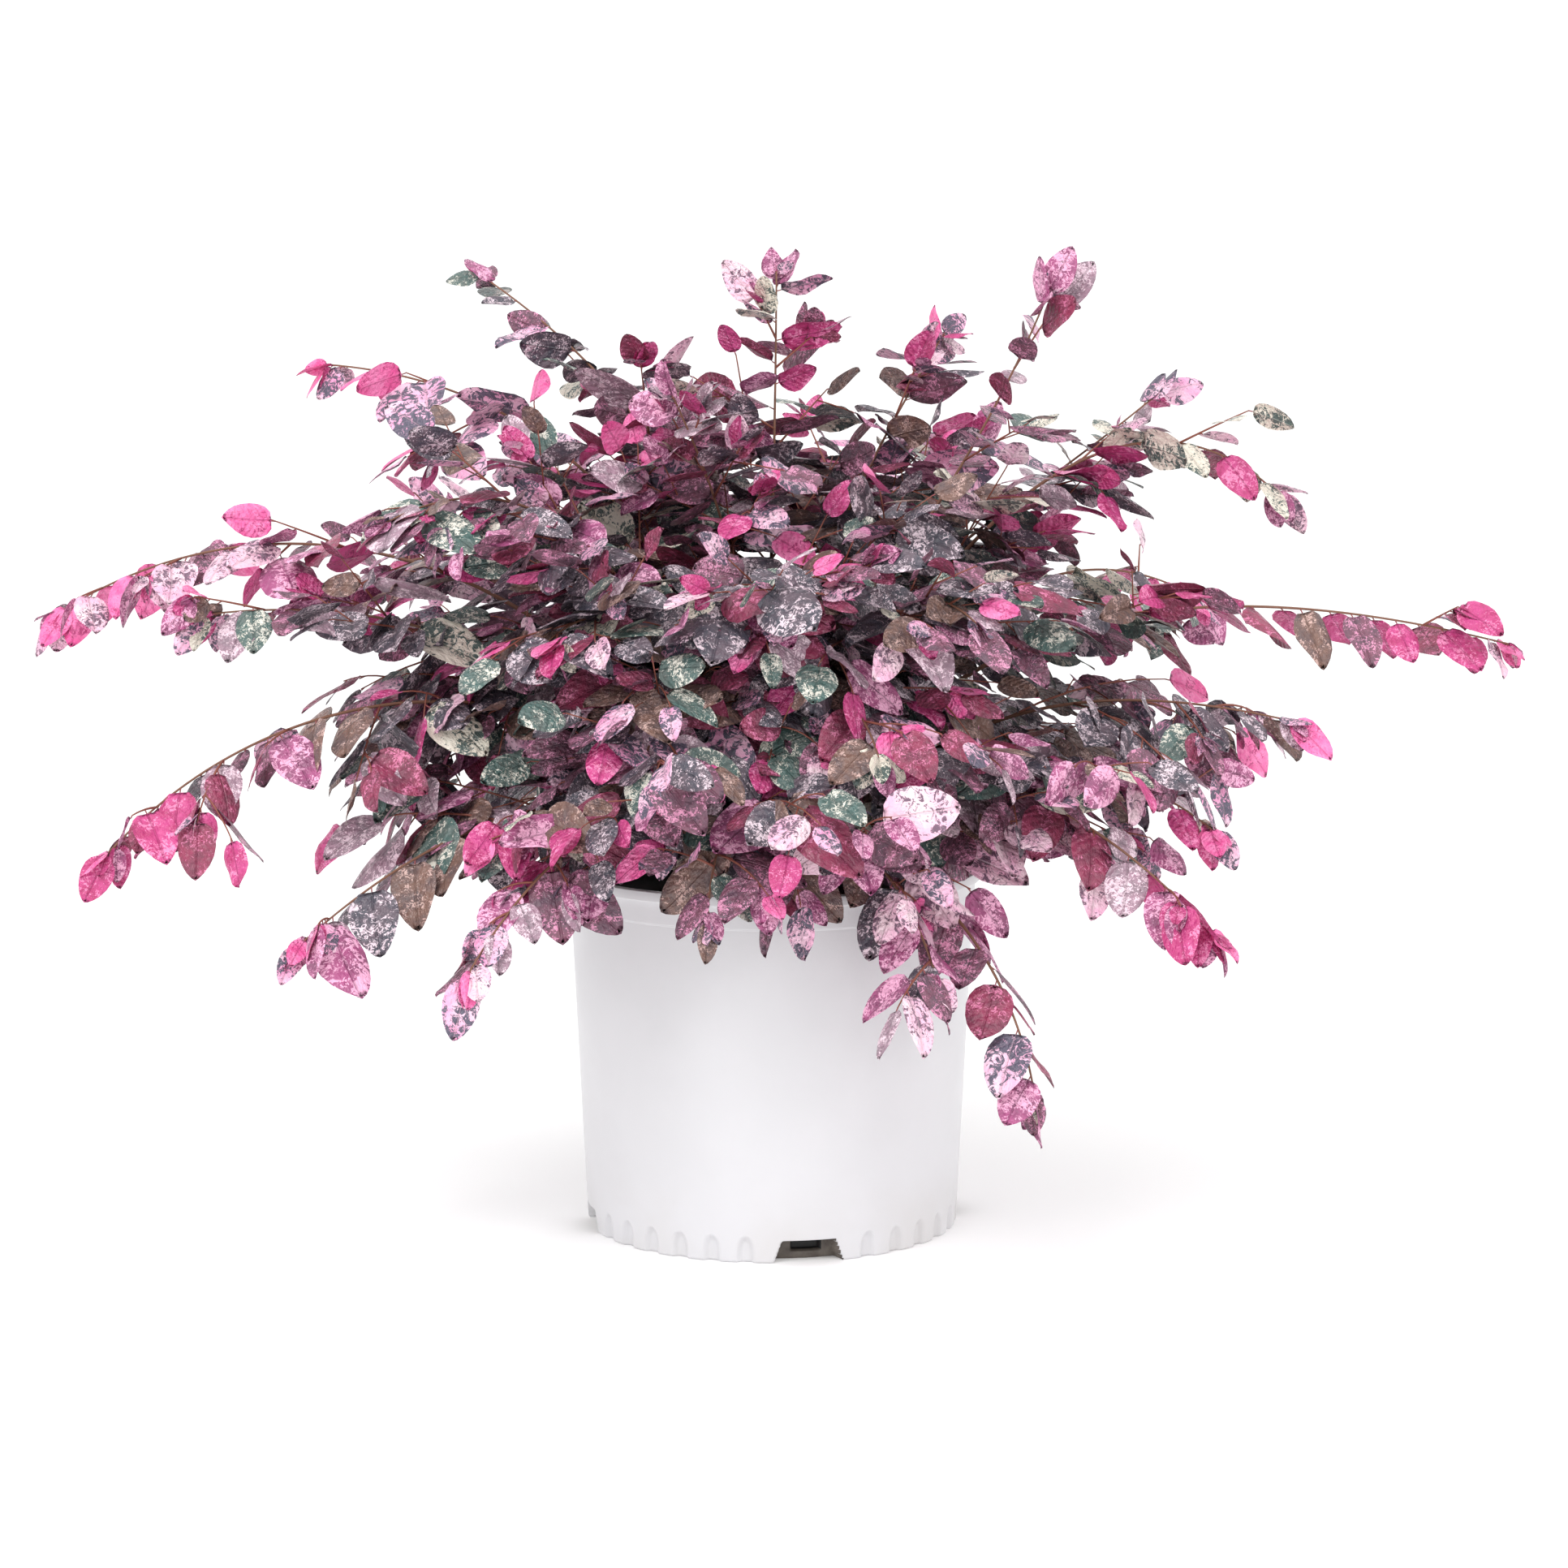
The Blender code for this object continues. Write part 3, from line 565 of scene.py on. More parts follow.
class LeafSettings(bpy.types.PropertyGroup):
    """Sizes of the leaves."""

    length: FloatProperty(
        name="Length", description="Length of a full-grown leaf", default=0.042, unit="LENGTH"
    )
    breadth: FloatProperty(
        name="Breadth", description="Width of a leaf as a part of its length", default=0.68
    )
    spacing: FloatProperty(
        name="Spacing", description="Between leaves along a twig", default=0.0155, unit="LENGTH"
    )
    stalk: FloatProperty(
        name="Stalk", description="Length of a leaf's stalk", default=0.004, unit="LENGTH"
    )


class StageSettings(bpy.types.PropertyGroup):
    """The floor, light and camera."""

    surround: FloatProperty(name="Surround", description="Strength of the even light", default=1.0)
    glow: FloatProperty(name="Glow", description="Light that the backdrop gives off", default=0.12)
    key: FloatProperty(name="Key", description="Power of the large lamp", default=42.0, unit="POWER")


def rounded(corners, radius, steps=3):
    """A profile whose inner corners are rounded: each becomes a short quadratic Bezier arc."""
    corners = [np.array(corner, float) for corner in corners]
    line = [corners[0]]
    for before, corner, after in zip(corners, corners[1:], corners[2:]):
        start = corner + unit(before - corner) * min(radius, np.linalg.norm(before - corner) / 2)
        end = corner + unit(after - corner) * min(radius, np.linalg.norm(after - corner) / 2)
        for t in np.linspace(0, 1, steps + 1):
            line.append(start * (1 - t) ** 2 + 2 * corner * t * (1 - t) + end * t * t)
    return np.array(line + [corners[-1]])


def from_nearest(angles, centres):
    """Each angle's difference from the nearest of the centres."""
    apart = angles[:, None] - np.array(centres)[None]
    apart = (apart + math.pi) % math.tau - math.pi
    return apart[np.arange(len(angles)), np.abs(apart).argmin(axis=1)]


def pot_profile(lip_height):
    """The pot's (radius, height): underside, wall, band, lip and rim, then down inside to the floor."""
    foot = np.linspace(0.0015, 0.0225, 32)
    wall = np.linspace(0.030, BAND_BOTTOM - 0.004, 14)
    heights = np.concatenate([foot, wall])
    radii = BASE_RADIUS + (BODY_RADIUS - BASE_RADIUS) * heights / BAND_BOTTOM
    upper = rounded(
        [
            (BODY_RADIUS, BAND_BOTTOM - 0.002),
            (BODY_RADIUS, BAND_BOTTOM - 0.0006),
            (BAND_RADIUS - 0.0002, BAND_BOTTOM),
            (BAND_RADIUS, POT_TOP - lip_height),
            (RIM_RADIUS, POT_TOP - lip_height + 0.0004),
            (RIM_RADIUS, POT_TOP),
            (BAND_RADIUS - WALL, POT_TOP),
            (BODY_RADIUS - WALL, BAND_BOTTOM - WALL),
        ],
        EDGE_ROUNDING,
    )
    under = [(0.06, 0.0), (0.105, 0.0), (BASE_RADIUS - 0.0015, 0.0), (BASE_RADIUS - 0.0005, 0.0004)]
    inner_floor = [(BODY_RADIUS - WALL - 0.0015, SOIL_FLOOR), (0.06, SOIL_FLOOR)]
    return np.vstack([under, np.column_stack([radii, heights]), upper, inner_floor])


def make_pot(settings):
    """The pot: a profile turned about Z, pressed in where the flutes and drain pockets are.

    The radius is the profile's, less the flutes, each a half ellipse in width and height, less the
    pockets, whose sides slope in to their tops, and less the drain hole in each pocket's back.
    """
    profile = pot_profile(settings.lip_height)
    angles = np.linspace(0, math.tau, POT_STEPS, endpoint=False)
    pockets = FIRST_POCKET + np.arange(POCKETS) * math.tau / POCKETS
    flutes = (pockets[:, None] + FIRST_FLUTE + np.arange(FLUTES_PER_QUARTER) * FLUTE_PITCH).ravel()
    radius, height = (profile[:, k][:, None] for k in (0, 1))
    at_flute = from_nearest(angles, flutes)[None] * BASE_RADIUS / (FLUTE_WIDTH / 2)
    press = smooth_step(1.25 * (1 - at_flute**2 - (height / FLUTE_HEIGHT) ** 4))
    aside = np.abs(from_nearest(angles, pockets))[None] * BASE_RADIUS
    half = (POCKET_WIDTH + (POCKET_TOP_WIDTH - POCKET_WIDTH) * height / POCKET_HEIGHT) / 2
    pocket = smooth_step(np.minimum(half - aside, POCKET_HEIGHT - height) / POCKET_EDGE)
    inside_drain = np.minimum(
        DRAIN_WIDTH / 2 - aside, DRAIN_HEIGHT / 2 - np.abs(height - DRAIN_BOTTOM - DRAIN_HEIGHT / 2)
    )
    drain = smooth_step(inside_drain / POCKET_EDGE)
    low_wall = (radius > 0.12) & (height < BAND_BOTTOM / 2)
    pressed = settings.flute_depth * press + POCKET_DEPTH * pocket + DRAIN_DEPTH * drain
    turned = radius - np.where(low_wall, pressed, 0)
    points = np.stack(
        [turned * np.cos(angles), turned * np.sin(angles), np.broadcast_to(height, turned.shape)], -1
    ).reshape(-1, 3)
    rows = len(profile)
    points = np.vstack([points, [[0, 0, 0], [0, 0, SOIL_FLOOR]]])
    faces = closed_faces(rows, POT_STEPS)
    quad_row = np.repeat(np.arange(rows - 1), POT_STEPS)
    # The drain pockets' faces get a darker beige-grey: painted shade for the recess in the white plastic.
    deep = (pocket * low_wall)[:-1].ravel()
    # The drain holes are only dents. The near-black lining colour on them is painted shade for the dark
    # seen through a hole.
    painted_drain_shade = (drain * low_wall)[:-1].ravel()
    rim_row = np.flatnonzero(profile[:, 1] >= POT_TOP - 1e-6)[-1]
    lining_and_shaded_drain = (painted_drain_shade > 0.3) | (quad_row >= rim_row)
    finish = np.where(lining_and_shaded_drain, 1, np.where(deep > 0.5, 2, 0))
    finish = np.concatenate([finish, np.zeros(POT_STEPS), np.ones(POT_STEPS)])
    materials = [
        pot_plastic(tuple(settings.white)),
        # The pot's own dark inner plastic, also put on the drain dents as painted shade.
        lining_and_shade_tones("pot_lining_and_drain_shade", (14, 13, 14), (34, 32, 33), 60),
        # Painted shade in the drain pockets, darker than the white outside.
        lining_and_shade_tones("pocket_painted_shade", (112, 104, 96), (72, 64, 58), 90),
    ]
    pot = add_piece("nursery_pot", points, faces, materials, None, finish)
    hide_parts("pot")


def make_soil(settings):
    """The soil: a round surface that sags to the wall, lumpy by ripples, with chips of bark on it."""
    rows, steps = 60, 160
    edge = BODY_RADIUS - WALL - 0.0018
    part = np.linspace(0.02, 1, rows)[:, None]
    angles = np.linspace(0, math.tau, steps, endpoint=False)[None]
    x, y = edge * part * np.cos(angles), edge * part * np.sin(angles)
    lumps = 0.0011 * ripple(x * 1000, y * 1000, 3, 12, 0.12, 0.9)
    z = SOIL_TOP - 0.0028 - SOIL_SAG * part**2 + np.clip(lumps, -0.0026, 0.0026)
    top = np.stack([x, y, z], -1)
    skirt = np.stack([x[-1:], y[-1:], np.full((1, steps), SOIL_FLOOR + GAP)], -1)
    points = np.vstack([top.reshape(-1, 3), skirt.reshape(-1, 3)])
    points = np.vstack([points, [[0, 0, z[0].mean()], [0, 0, SOIL_FLOOR + GAP]]])
    faces = [part[:, ::-1] for part in closed_faces(rows + 1, steps)]
    soil = add_piece("potting_soil_top", points, faces, [soil_earth()])
    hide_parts("potting_soil")
    rng = np.random.default_rng(5)
    count = settings.chips
    away = edge * 0.96 * np.sqrt(rng.uniform(0.03, 1, count))
    turn = rng.uniform(0, math.tau, count)
    level = SOIL_TOP - 0.0022 - SOIL_SAG * (away / edge) ** 2
    centre = np.stack([away * np.cos(turn), away * np.sin(turn), level], -1)
    along = unit(rng.normal(size=(count, 3)) * (1, 1, 0.25))
    across = unit(np.cross(along, UP + rng.normal(size=(count, 3)) * 0.25))
    thick = np.cross(along, across)
    sizes = rng.uniform((0.002, 0.0012, 0.0005), (0.006, 0.0028, 0.0011), (count, 3))
    signs = np.array([(i, j, k) for k in (-1, 1) for j in (-1, 1) for i in (-1, 1)])
    shape = signs[None] * rng.uniform(0.55, 1, (count, 8, 3)) * sizes[:, None]
    corners = centre[:, None] + np.einsum(
        "nkc,ncd->nkd", shape, np.stack([along, across, thick], axis=1)
    )
    corners[..., 2] = np.minimum(corners[..., 2], SOIL_TOP - 0.0001)
    box = np.array([(0, 2, 3, 1), (4, 5, 7, 6), (0, 1, 5, 4), (2, 6, 7, 3), (0, 4, 6, 2), (1, 3, 7, 5)])
    faces = (np.arange(count)[:, None, None] * 8 + box[None]).reshape(-1, 4)
    chips = bark("bark_chips", linear((44, 32, 25)), linear((112, 84, 62)), 0.0006)
    add_piece("bark_chips", corners.reshape(-1, 3), [faces], [chips])


def outward(azimuth):
    return np.array([math.cos(azimuth), math.sin(azimuth), 0.0])


def aimed(azimuth, elevation):
    return outward(azimuth) * math.cos(elevation) + UP * math.sin(elevation)


def stem_radius(height):
    """The stem's radius above the soil: a flare that runs into an even taper."""
    flare = (STEM_FLARE_RADIUS - STEM_RADIUS) * np.exp(-height / STEM_FLARE_FALL)
    taper = (STEM_TOP_RADIUS - STEM_RADIUS) * height / (STEM_TOP - STEM_FOOT)
    return flare + STEM_RADIUS + taper


def cane_foot(cane):
    """Where the cane's centre line starts, on the side of the stem or on its top."""
    azimuth, launch = math.radians(cane.azimuth), math.radians(cane.launch)
    if cane.tier == TOP_TIER:
        on_top = sorted(c.azimuth for c in CANES if c.tier == TOP_TIER)
        seat = math.radians(on_top[0]) + math.tau * on_top.index(cane.azimuth) / len(on_top)
        return outward(seat) * TOP_TIER_RADIUS + UP * (STEM_TOP + CANE_RADIUS * math.cos(launch))
    height = TIERS[cane.tier]
    radius = stem_radius(height) + GAP + SEAT_RADIUS * math.sin(launch)
    return outward(azimuth) * radius + UP * (STEM_FOOT + height)


def cane_line(cane, parts):
    """Points of the cane's centre line, a cubic Bezier curve, at parts of the way along."""
    azimuth = math.radians(cane.azimuth)
    start = cane_foot(cane)
    end = outward(azimuth) * cane.reach + UP * cane.height
    handle = HANDLE * np.linalg.norm(end - start)
    rise = start + aimed(azimuth, math.radians(cane.launch)) * handle
    fall = end - aimed(azimuth, math.radians(cane.finish)) * handle
    t = np.asarray(parts)[:, None]
    rest = 1 - t
    return start * rest**3 + rise * 3 * rest**2 * t + fall * 3 * rest * t**2 + end * t**3


def sideways(direction, azimuth):
    """Level directions across a twig, or across the cane's own plane on an upright twig."""
    across = np.cross(direction, UP)
    upright = np.linalg.norm(across, axis=-1, keepdims=True) < 0.25
    across = np.where(upright, np.cross(direction, outward(azimuth)), across)
    return unit(across)


def turned_about(vector, axis, angle):
    """A vector at a right angle to the axis, turned about it."""
    return vector * math.cos(angle) + np.cross(axis, vector) * math.sin(angle)


def bent_line(start, heading, length, bend, steps):
    """A line that sets out along the heading and turns down, or up if bend is negative."""
    points, step = [start], length / steps
    for _ in range(steps):
        heading = unit(heading - UP * bend / steps)
        points.append(points[-1] + heading * step)
    return np.array(points)


def side_shoots(twig, settings, rng):
    """Shoots that leave a twig on alternate sides, shorter towards its tip."""
    cane_stem = twig.order == 0
    line = twig.points
    lengths = np.linalg.norm(np.diff(line, axis=0), axis=1)
    travel = np.concatenate([[0], np.cumsum(lengths)])
    count = int(travel[-1] / TWIGLET_SPACING)
    if cane_stem:
        thinning = THINNER_RIGHT * max(math.cos(twig.azimuth), 0)
        branched = CANES[twig.cane].name not in UNBRANCHED
        count = round(settings.shoots * (1 - thinning)) * branched
    shoots = []
    for k in range(count):
        part = (k + rng.uniform(0.1, 0.9)) / count
        part = 0.02 + 0.90 * part if cane_stem else 0.25 + 0.6 * part
        at = part * travel[-1]
        span = min(np.searchsorted(travel, at), len(lengths)) - 1
        span = max(span, 0)
        along = unit(line[span + 1] - line[span])
        start = line[span] + along * (at - travel[span])
        side = (1 if k % 2 else -1) * sideways(along[None], twig.azimuth)[0]
        side = turned_about(side, along, rng.uniform(-1.1, 1.1))
        spread = settings.spread * rng.uniform(0.7, 1.2)
        heading = along * math.cos(spread) + side * math.sin(spread)
        if cane_stem:
            whole = settings.shoot_length * (1 - part) ** 1.15 + settings.shoot_shortest
            length = whole * rng.uniform(0.6, 1.25)
        else:
            length = rng.uniform(*TWIGLET_LENGTHS)
        bend = rng.uniform(0.1, 0.5) * (1.5 if start[2] < 0.40 else 0.2)
        outside = mound_level(start + heading * length) > 1
        sprouts = rng.uniform() < SPROUTING[0 if cane_stem else 1]
        if outside:
            if not sprouts:
                continue
            length = rng.uniform(*SPROUT_LENGTHS)
            heading = unit(heading + UP * rng.uniform(0, SPROUT_LIFT))
        points = bent_line(start, heading, length, bend, 5)
        radii = np.linspace(0.0009 if cane_stem else 0.0006, 0.00045, len(points))
        out = twig.out + (1 - twig.out) * part
        shoots.append(Twig(points, radii, twig.order + 1, out, twig.azimuth, twig.cane))
    return shoots


def mound_level(points):
    """Below 1 inside the mound: the sum of the squared parts of its reach and its rise or drop."""
    level = (points[..., :2] / MOUND_REACH) ** 2
    rise = (points[..., 2] - MOUND_MIDDLE) / MOUND_RISE
    drop = (MOUND_MIDDLE - points[..., 2]) / MOUND_DROP
    upright = np.where(rise > 0, rise**2, np.maximum(drop, 0) ** 2)
    return level.sum(axis=-1) + upright + UNDER_FLOOR * (points[..., 2] < MOUND_FLOOR)


def clear_of_pot(points):
    """Whether points lie clear of the pot and of the soil in it."""
    level = np.hypot(points[..., 0], points[..., 1])
    on_pot = (level < RIM_RADIUS + 0.003) & (points[..., 2] < POT_TOP + 0.002)
    return ~on_pot


def within_box(points, margin=0.0005):
    low, high = (np.array(corner) for corner in CAD_BOX)
    return ((points > low + margin) & (points < high - margin)).all(axis=-1)


def grow_shrub(settings):
    """Every twig of the shrub: each cane's stem, its side shoots and their twiglets."""
    rng = np.random.default_rng(settings.seed)
    twigs = []
    for number, cane in enumerate(CANES):
        start = 0.0 if cane.tier == TOP_TIER else BOUGH_PART
        parts = np.linspace(start, 1, LINE_STEPS)
        radii = CANE_RADIUS * (CANE_TIP_RADIUS / CANE_RADIUS) ** parts
        azimuth = math.radians(cane.azimuth)
        stem = Twig(cane_line(cane, parts), radii, 0, 0.0, azimuth, number)
        shoots = side_shoots(stem, settings, rng)
        twiglets = [twiglet for shoot in shoots for twiglet in side_shoots(shoot, settings, rng)]
        twigs += [stem, *(twig for twig in shoots + twiglets if usable(twig))]
    return twigs


def usable(twig):
    return bool((clear_of_pot(twig.points) & within_box(twig.points)).all())


def tube_points(line, radii, sides, relief=None):
    """Rings round a line: each across its direction, its sides turned by the line's own bends."""
    along = unit(np.gradient(line, axis=0))
    across = unit(np.cross(along[0], [0.3, 0.9, 0.2]))
    rings = []
    turns = np.linspace(0, math.tau, sides, endpoint=False)
    for k, direction in enumerate(along):
        across = unit(across - direction * (across @ direction))
        other = np.cross(direction, across)
        radius = np.full(sides, radii[k]) if relief is None else radii[k] * relief[k]
        ring = np.cos(turns)[:, None] * across + np.sin(turns)[:, None] * other
        rings.append(line[k] + ring * radius[:, None])
    return np.array(rings)


def joined_tubes(lines, sides, reliefs=None):
    """Closed tubes along many lines as one array of points and their faces."""
    points, quads, fans, first = [], [], [], 0
    for k, (line, radii) in enumerate(lines):
        rings = tube_points(line, radii, sides, None if reliefs is None else reliefs[k])
        rows = len(rings)
        ends = [rings[0].mean(axis=0), rings[-1].mean(axis=0)]
        points += [rings.reshape(-1, 3), np.array(ends)]
        walls, *ends = closed_faces(rows, sides, first)
        quads.append(walls)
        fans += ends
        first += rows * sides + 2
    return np.vstack(points), [np.vstack(quads), np.vstack(fans)]


def make_limbs():
    """The stem and the bare boughs, with the bark's relief pressed into their radii."""
    rows, steps = 40, 64
    heights = np.linspace(0, STEM_TOP - STEM_FOOT, rows)
    angles = np.linspace(0, math.tau, steps, endpoint=False)
    cracks = ripple(angles[None] * 6, heights[:, None] * 90, 21, 9, 1, 4)
    radius = stem_radius(heights)[:, None] * (0.955 + 0.018 * np.clip(cracks, -2, 2))
    x, y = radius * np.cos(angles), radius * np.sin(angles)
    z = np.broadcast_to(STEM_FOOT + heights[:, None], x.shape)
    stem = np.stack([x, y, z], -1).reshape(-1, 3)
    stem = np.vstack([stem, [[0, 0, STEM_FOOT], [0, 0, STEM_TOP]]])
    faces = closed_faces(rows, steps)
    material = bark("cane_bark", linear((74, 50, 38)), linear((136, 98, 74)), 0.0005)
    trunk = add_piece("stem_wood", stem, faces, [material])
    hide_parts("stem")
    lines, reliefs, names = [], [], []
    sides = 12
    for number, cane in enumerate(CANES):
        if cane.tier == TOP_TIER:
            continue
        parts = np.linspace(0, BOUGH_PART + 0.004, 40)
        lines.append((cane_line(cane, parts), CANE_RADIUS * (CANE_TIP_RADIUS / CANE_RADIUS) ** parts))
        turns = np.linspace(0, math.tau, sides, endpoint=False)
        reliefs.append(1 + 0.05 * ripple(turns[None] * 3, parts[:, None] * 90, number, 6, 1, 4))
        names.append(f"bough_{cane.name}")
    points, faces = joined_tubes(lines, sides, reliefs)
    boughs = add_piece("boughs", points, faces, [material])
    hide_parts(*names)


def leaf_seats(twig, settings, rng):
    """Where leaves sit on a twig: roots, twig directions, how far along, side, and a size factor.

    They are evenly spaced and alternate. A cane's stem and its outer shoots end in a tuft of small
    leaves crowded round the tip.
    """
    lengths = np.linalg.norm(np.diff(twig.points, axis=0), axis=1)
    travel = np.concatenate([[0], np.cumsum(lengths)])
    total = travel[-1]
    first = 0.012 if twig.order else 0.02
    count = max(int((total - first) / settings.spacing), 1)
    order = np.arange(count + 1)
    part = order / count
    at = first + (total - first) * (order + rng.uniform(-0.2, 0.2, count + 1)) / count
    growth = (1 - 0.30 * part**2) * rng.uniform(0.75, 1.28, count + 1)
    tufted = twig.order == 0 or (twig.order == 1 and twig.out > 0.5 and rng.uniform() < 0.6)
    if tufted:
        tuft = np.array(TUFT)
        at = np.concatenate([at, total - tuft[:, 0]])
        growth = np.concatenate([growth, tuft[:, 1] * rng.uniform(0.8, 1.2, len(tuft))])
        part = np.concatenate([part, np.full(len(tuft), TUFT_PART)])
        order = np.arange(len(at))
    at = np.clip(at, 0, total - 0.0004)
    roots = np.stack([np.interp(at, travel, twig.points[:, axis]) for axis in range(3)], -1)
    span = np.clip(np.searchsorted(travel, at) - 1, 0, len(lengths) - 1)
    along = unit(twig.points[span + 1] - twig.points[span])
    side = np.where(order % 2, 1.0, -1.0)
    return roots, along, part, side, growth


def grow_leaves(twigs, shrub, settings):
    """Every leaf as arrays: root, three axes, size, place on the cane and on its twig, and its twig.

    A leaf points half forward and half to the side, and sags more the lower it hangs and the
    further it is past the mound. Its face turns up and away from the crown's middle.
    """
    rng = np.random.default_rng(shrub.seed + 1)
    found = []
    for number, twig in enumerate(twigs):
        roots, along, part, side, growth = leaf_seats(twig, settings, rng)
        count = len(part)
        across = sideways(along, twig.azimuth) * side[:, None]
        last = (part > 0.999) & (part <= 1)
        spread = math.radians(58) * rng.uniform(0.75, 1.2, count)
        spread = np.where(last, 0.15, np.where(part > 1, rng.uniform(0.2, 1.0, count), spread))
        spread = spread[:, None]
        turn = np.where(part > 1, rng.uniform(0, math.tau, count), 0)[:, None]
        across = across * np.cos(turn) + np.cross(along, across) * np.sin(turn)
        low = smooth_step((0.52 - roots[:, 2]) / 0.28)[:, None]
        beyond = smooth_step((mound_level(roots) - 0.8) / 0.5)[:, None]
        sag = rng.uniform(0.0, 0.25, (count, 1)) + low * rng.uniform(0.1, 0.55, (count, 1))
        sag = sag + beyond * (1 - np.abs(along[:, 2:])) * rng.uniform(0.2, 1.1, (count, 1))
        heading = unit(along * np.cos(spread) + across * np.sin(spread) - UP * sag)
        facing = 0.6 + 0.6 * low
        wobble = rng.normal(0, 0.40, (count, 3))
        lean = UP + outward(twig.azimuth) * facing + across * 1.6 * beyond + wobble
        width = unit(np.cross(lean, heading))
        face = np.cross(heading, width)
        size = settings.length * growth
        out = twig.out + (1 - twig.out) * np.minimum(part, 1) * (1.0 if twig.order == 0 else 0.5)
        spray = np.full(count, number)
        found.append((roots, heading, width, face, size, out, part, spray))
    return [np.concatenate(column) for column in zip(*found)]


def blade_places():
    """A blade's places along, 0 to 1, and across, -1 to 1: its foot, its grid in rows, its tip.

    The rows are spaced as the cosine, so they lie closer together at the two ends.
    """
    rows = (1 - np.cos(np.linspace(0, math.pi, BLADE_ROWS + 1)[1:-1])) / 2
    along, across = np.meshgrid(rows, np.linspace(-1, 1, BLADE_COLUMNS + 1), indexing="ij")
    along = np.concatenate([[0.0], along.ravel(), [1.0]])[None]
    return along, np.concatenate([[0.0], across.ravel(), [0.0]])[None]


def half_width(along):
    """Half a blade's width at x along it: x^BASE_FULLNESS (1 - x)^TIP_FULLNESS over twice its peak."""
    shape = along**BASE_FULLNESS * (1 - along) ** TIP_FULLNESS
    peak = WIDEST**BASE_FULLNESS * (1 - WIDEST) ** TIP_FULLNESS
    return shape / peak / 2


def leaf_points(leaves, settings, rng):
    """Points of every leaf's blade, at x along it and y across.

    Its height is fold |y| - dome y^2 - curl x^2 and a sine wave along x that grows to the edges.
    """
    roots, heading, width, face, size = (column for column in leaves[:5])
    count = len(size)
    along, across = blade_places()
    breadth = settings.breadth * rng.uniform(0.88, 1.12, (count, 1))
    fold = rng.uniform(0.15, 0.60, (count, 1))
    dome = rng.uniform(0.6, 1.9, (count, 1))
    curl = rng.uniform(0.02, 0.26, (count, 1))
    wave = rng.uniform(0.0, 0.035, (count, 1))
    phase = rng.uniform(0, math.tau, (count, 1))
    skew = rng.normal(0, 0.10, (count, 1))
    half = half_width(along) * breadth
    y = across * half + skew * along * (1 - along) * 0.6
    z = fold * np.abs(across) * half - dome * (across * half) ** 2 - curl * along**2
    z = z + wave * np.sin(along * 9 + phase) * np.abs(across)
    stalk = settings.stalk * (size / settings.length)
    base = roots + heading * stalk[:, None]
    scale = size[:, None, None]
    return base[:, None] + scale * (
        along[..., None] * heading[:, None]
        + y[..., None] * width[:, None]
        + z[..., None] * face[:, None]
    )


def blade_faces():
    """Quads between the blade's rows, and fans of triangles to its two ends, upper face out."""
    rows, columns = BLADE_ROWS - 1, BLADE_COLUMNS + 1
    quads = grid_faces(rows, columns, first=1)[:, ::-1]
    first, last = np.arange(columns) + 1, np.arange(columns) + 1 + (rows - 1) * columns
    tip = 1 + rows * columns
    base_fan = np.stack([np.zeros(columns - 1, int), first[:-1], first[1:]], -1)[:, ::-1]
    tip_fan = np.stack([np.full(columns - 1, tip), last[1:], last[:-1]], -1)[:, ::-1]
    return quads, np.vstack([base_fan, tip_fan])


def leaf_maps(count, rng):
    """The pattern map, with each leaf in one of the map's cells, and the blade map."""
    along, across = blade_places()
    column = rng.integers(0, CELL_COLUMNS, (count, 1))
    row = rng.integers(0, CELL_ROWS, (count, 1))
    room = 1 - 2 * CELL_MARGIN
    u = (column + CELL_MARGIN + room * (0.5 + across * half_width(along))) / CELL_COLUMNS
    v = (row + CELL_MARGIN + room * along) / CELL_ROWS
    pattern = np.stack([u, np.broadcast_to(v, u.shape)], -1)
    blade = np.stack([0.5 + across * half_width(along), along], -1)
    blade = np.broadcast_to(blade, (count, *blade.shape[1:]))
    return {PATTERN_MAP: pattern.reshape(-1, 2), BLADE_MAP: blade.reshape(-1, 2)}


def deal_finishes(leaves, canes, rng):
    """Each leaf's finish. A spray leans to one of them, and they turn pinker outwards and tipwards.

    The accents then take over most of the leaves on their stretches of the canes.
    """
    roots, _, _, _, _, out, part, spray = leaves
    reach = np.linalg.norm((roots - CROWN_MIDDLE) / CROWN_REACH, axis=1)
    depth = np.clip(0.55 * reach + 0.5 * out, 0, 1.2)
    inner = smooth_step((depth - 0.35) / 0.4)[:, None]
    outer = smooth_step((depth - 0.72) / 0.35)[:, None]
    table = [np.array(row) for row in (INSIDE, FACE, EDGE, TIPS)]
    odds = table[0] * (1 - inner) + table[1] * inner
    odds = odds * (1 - outer) + table[2] * outer
    tip = np.maximum(0.45 * smooth_step((part - 0.70) / 0.3) * (depth > 0.6), part > 1)[:, None]
    odds = odds * (1 - tip) + table[3] * tip
    sums = np.cumsum(odds / odds.sum(axis=1, keepdims=True), axis=1)
    own = rng.uniform(0, 1, len(roots))
    shared = rng.uniform(0, 1, spray.max() + 1)[spray]
    draw = np.where(rng.uniform(0, 1, len(roots)) < SPRAY_LIKENESS, shared, own)
    dealt = (draw[:, None] > sums).sum(axis=1).clip(0, len(LEAF_FINISHES) - 1)
    names = [finish.name for finish in LEAF_FINISHES]
    for accent in ACCENTS:
        along = canes == [cane.name for cane in CANES].index(accent.cane)
        along = along & (out > accent.start) & (out <= accent.end)
        choice = np.array([names.index(name) for name in accent.finishes])
        accents = rng.choice(choice, len(roots))
        dealt = np.where(along & (rng.uniform(0, 1, len(roots)) < ACCENT_CHANCE), accents, dealt)
    return dealt


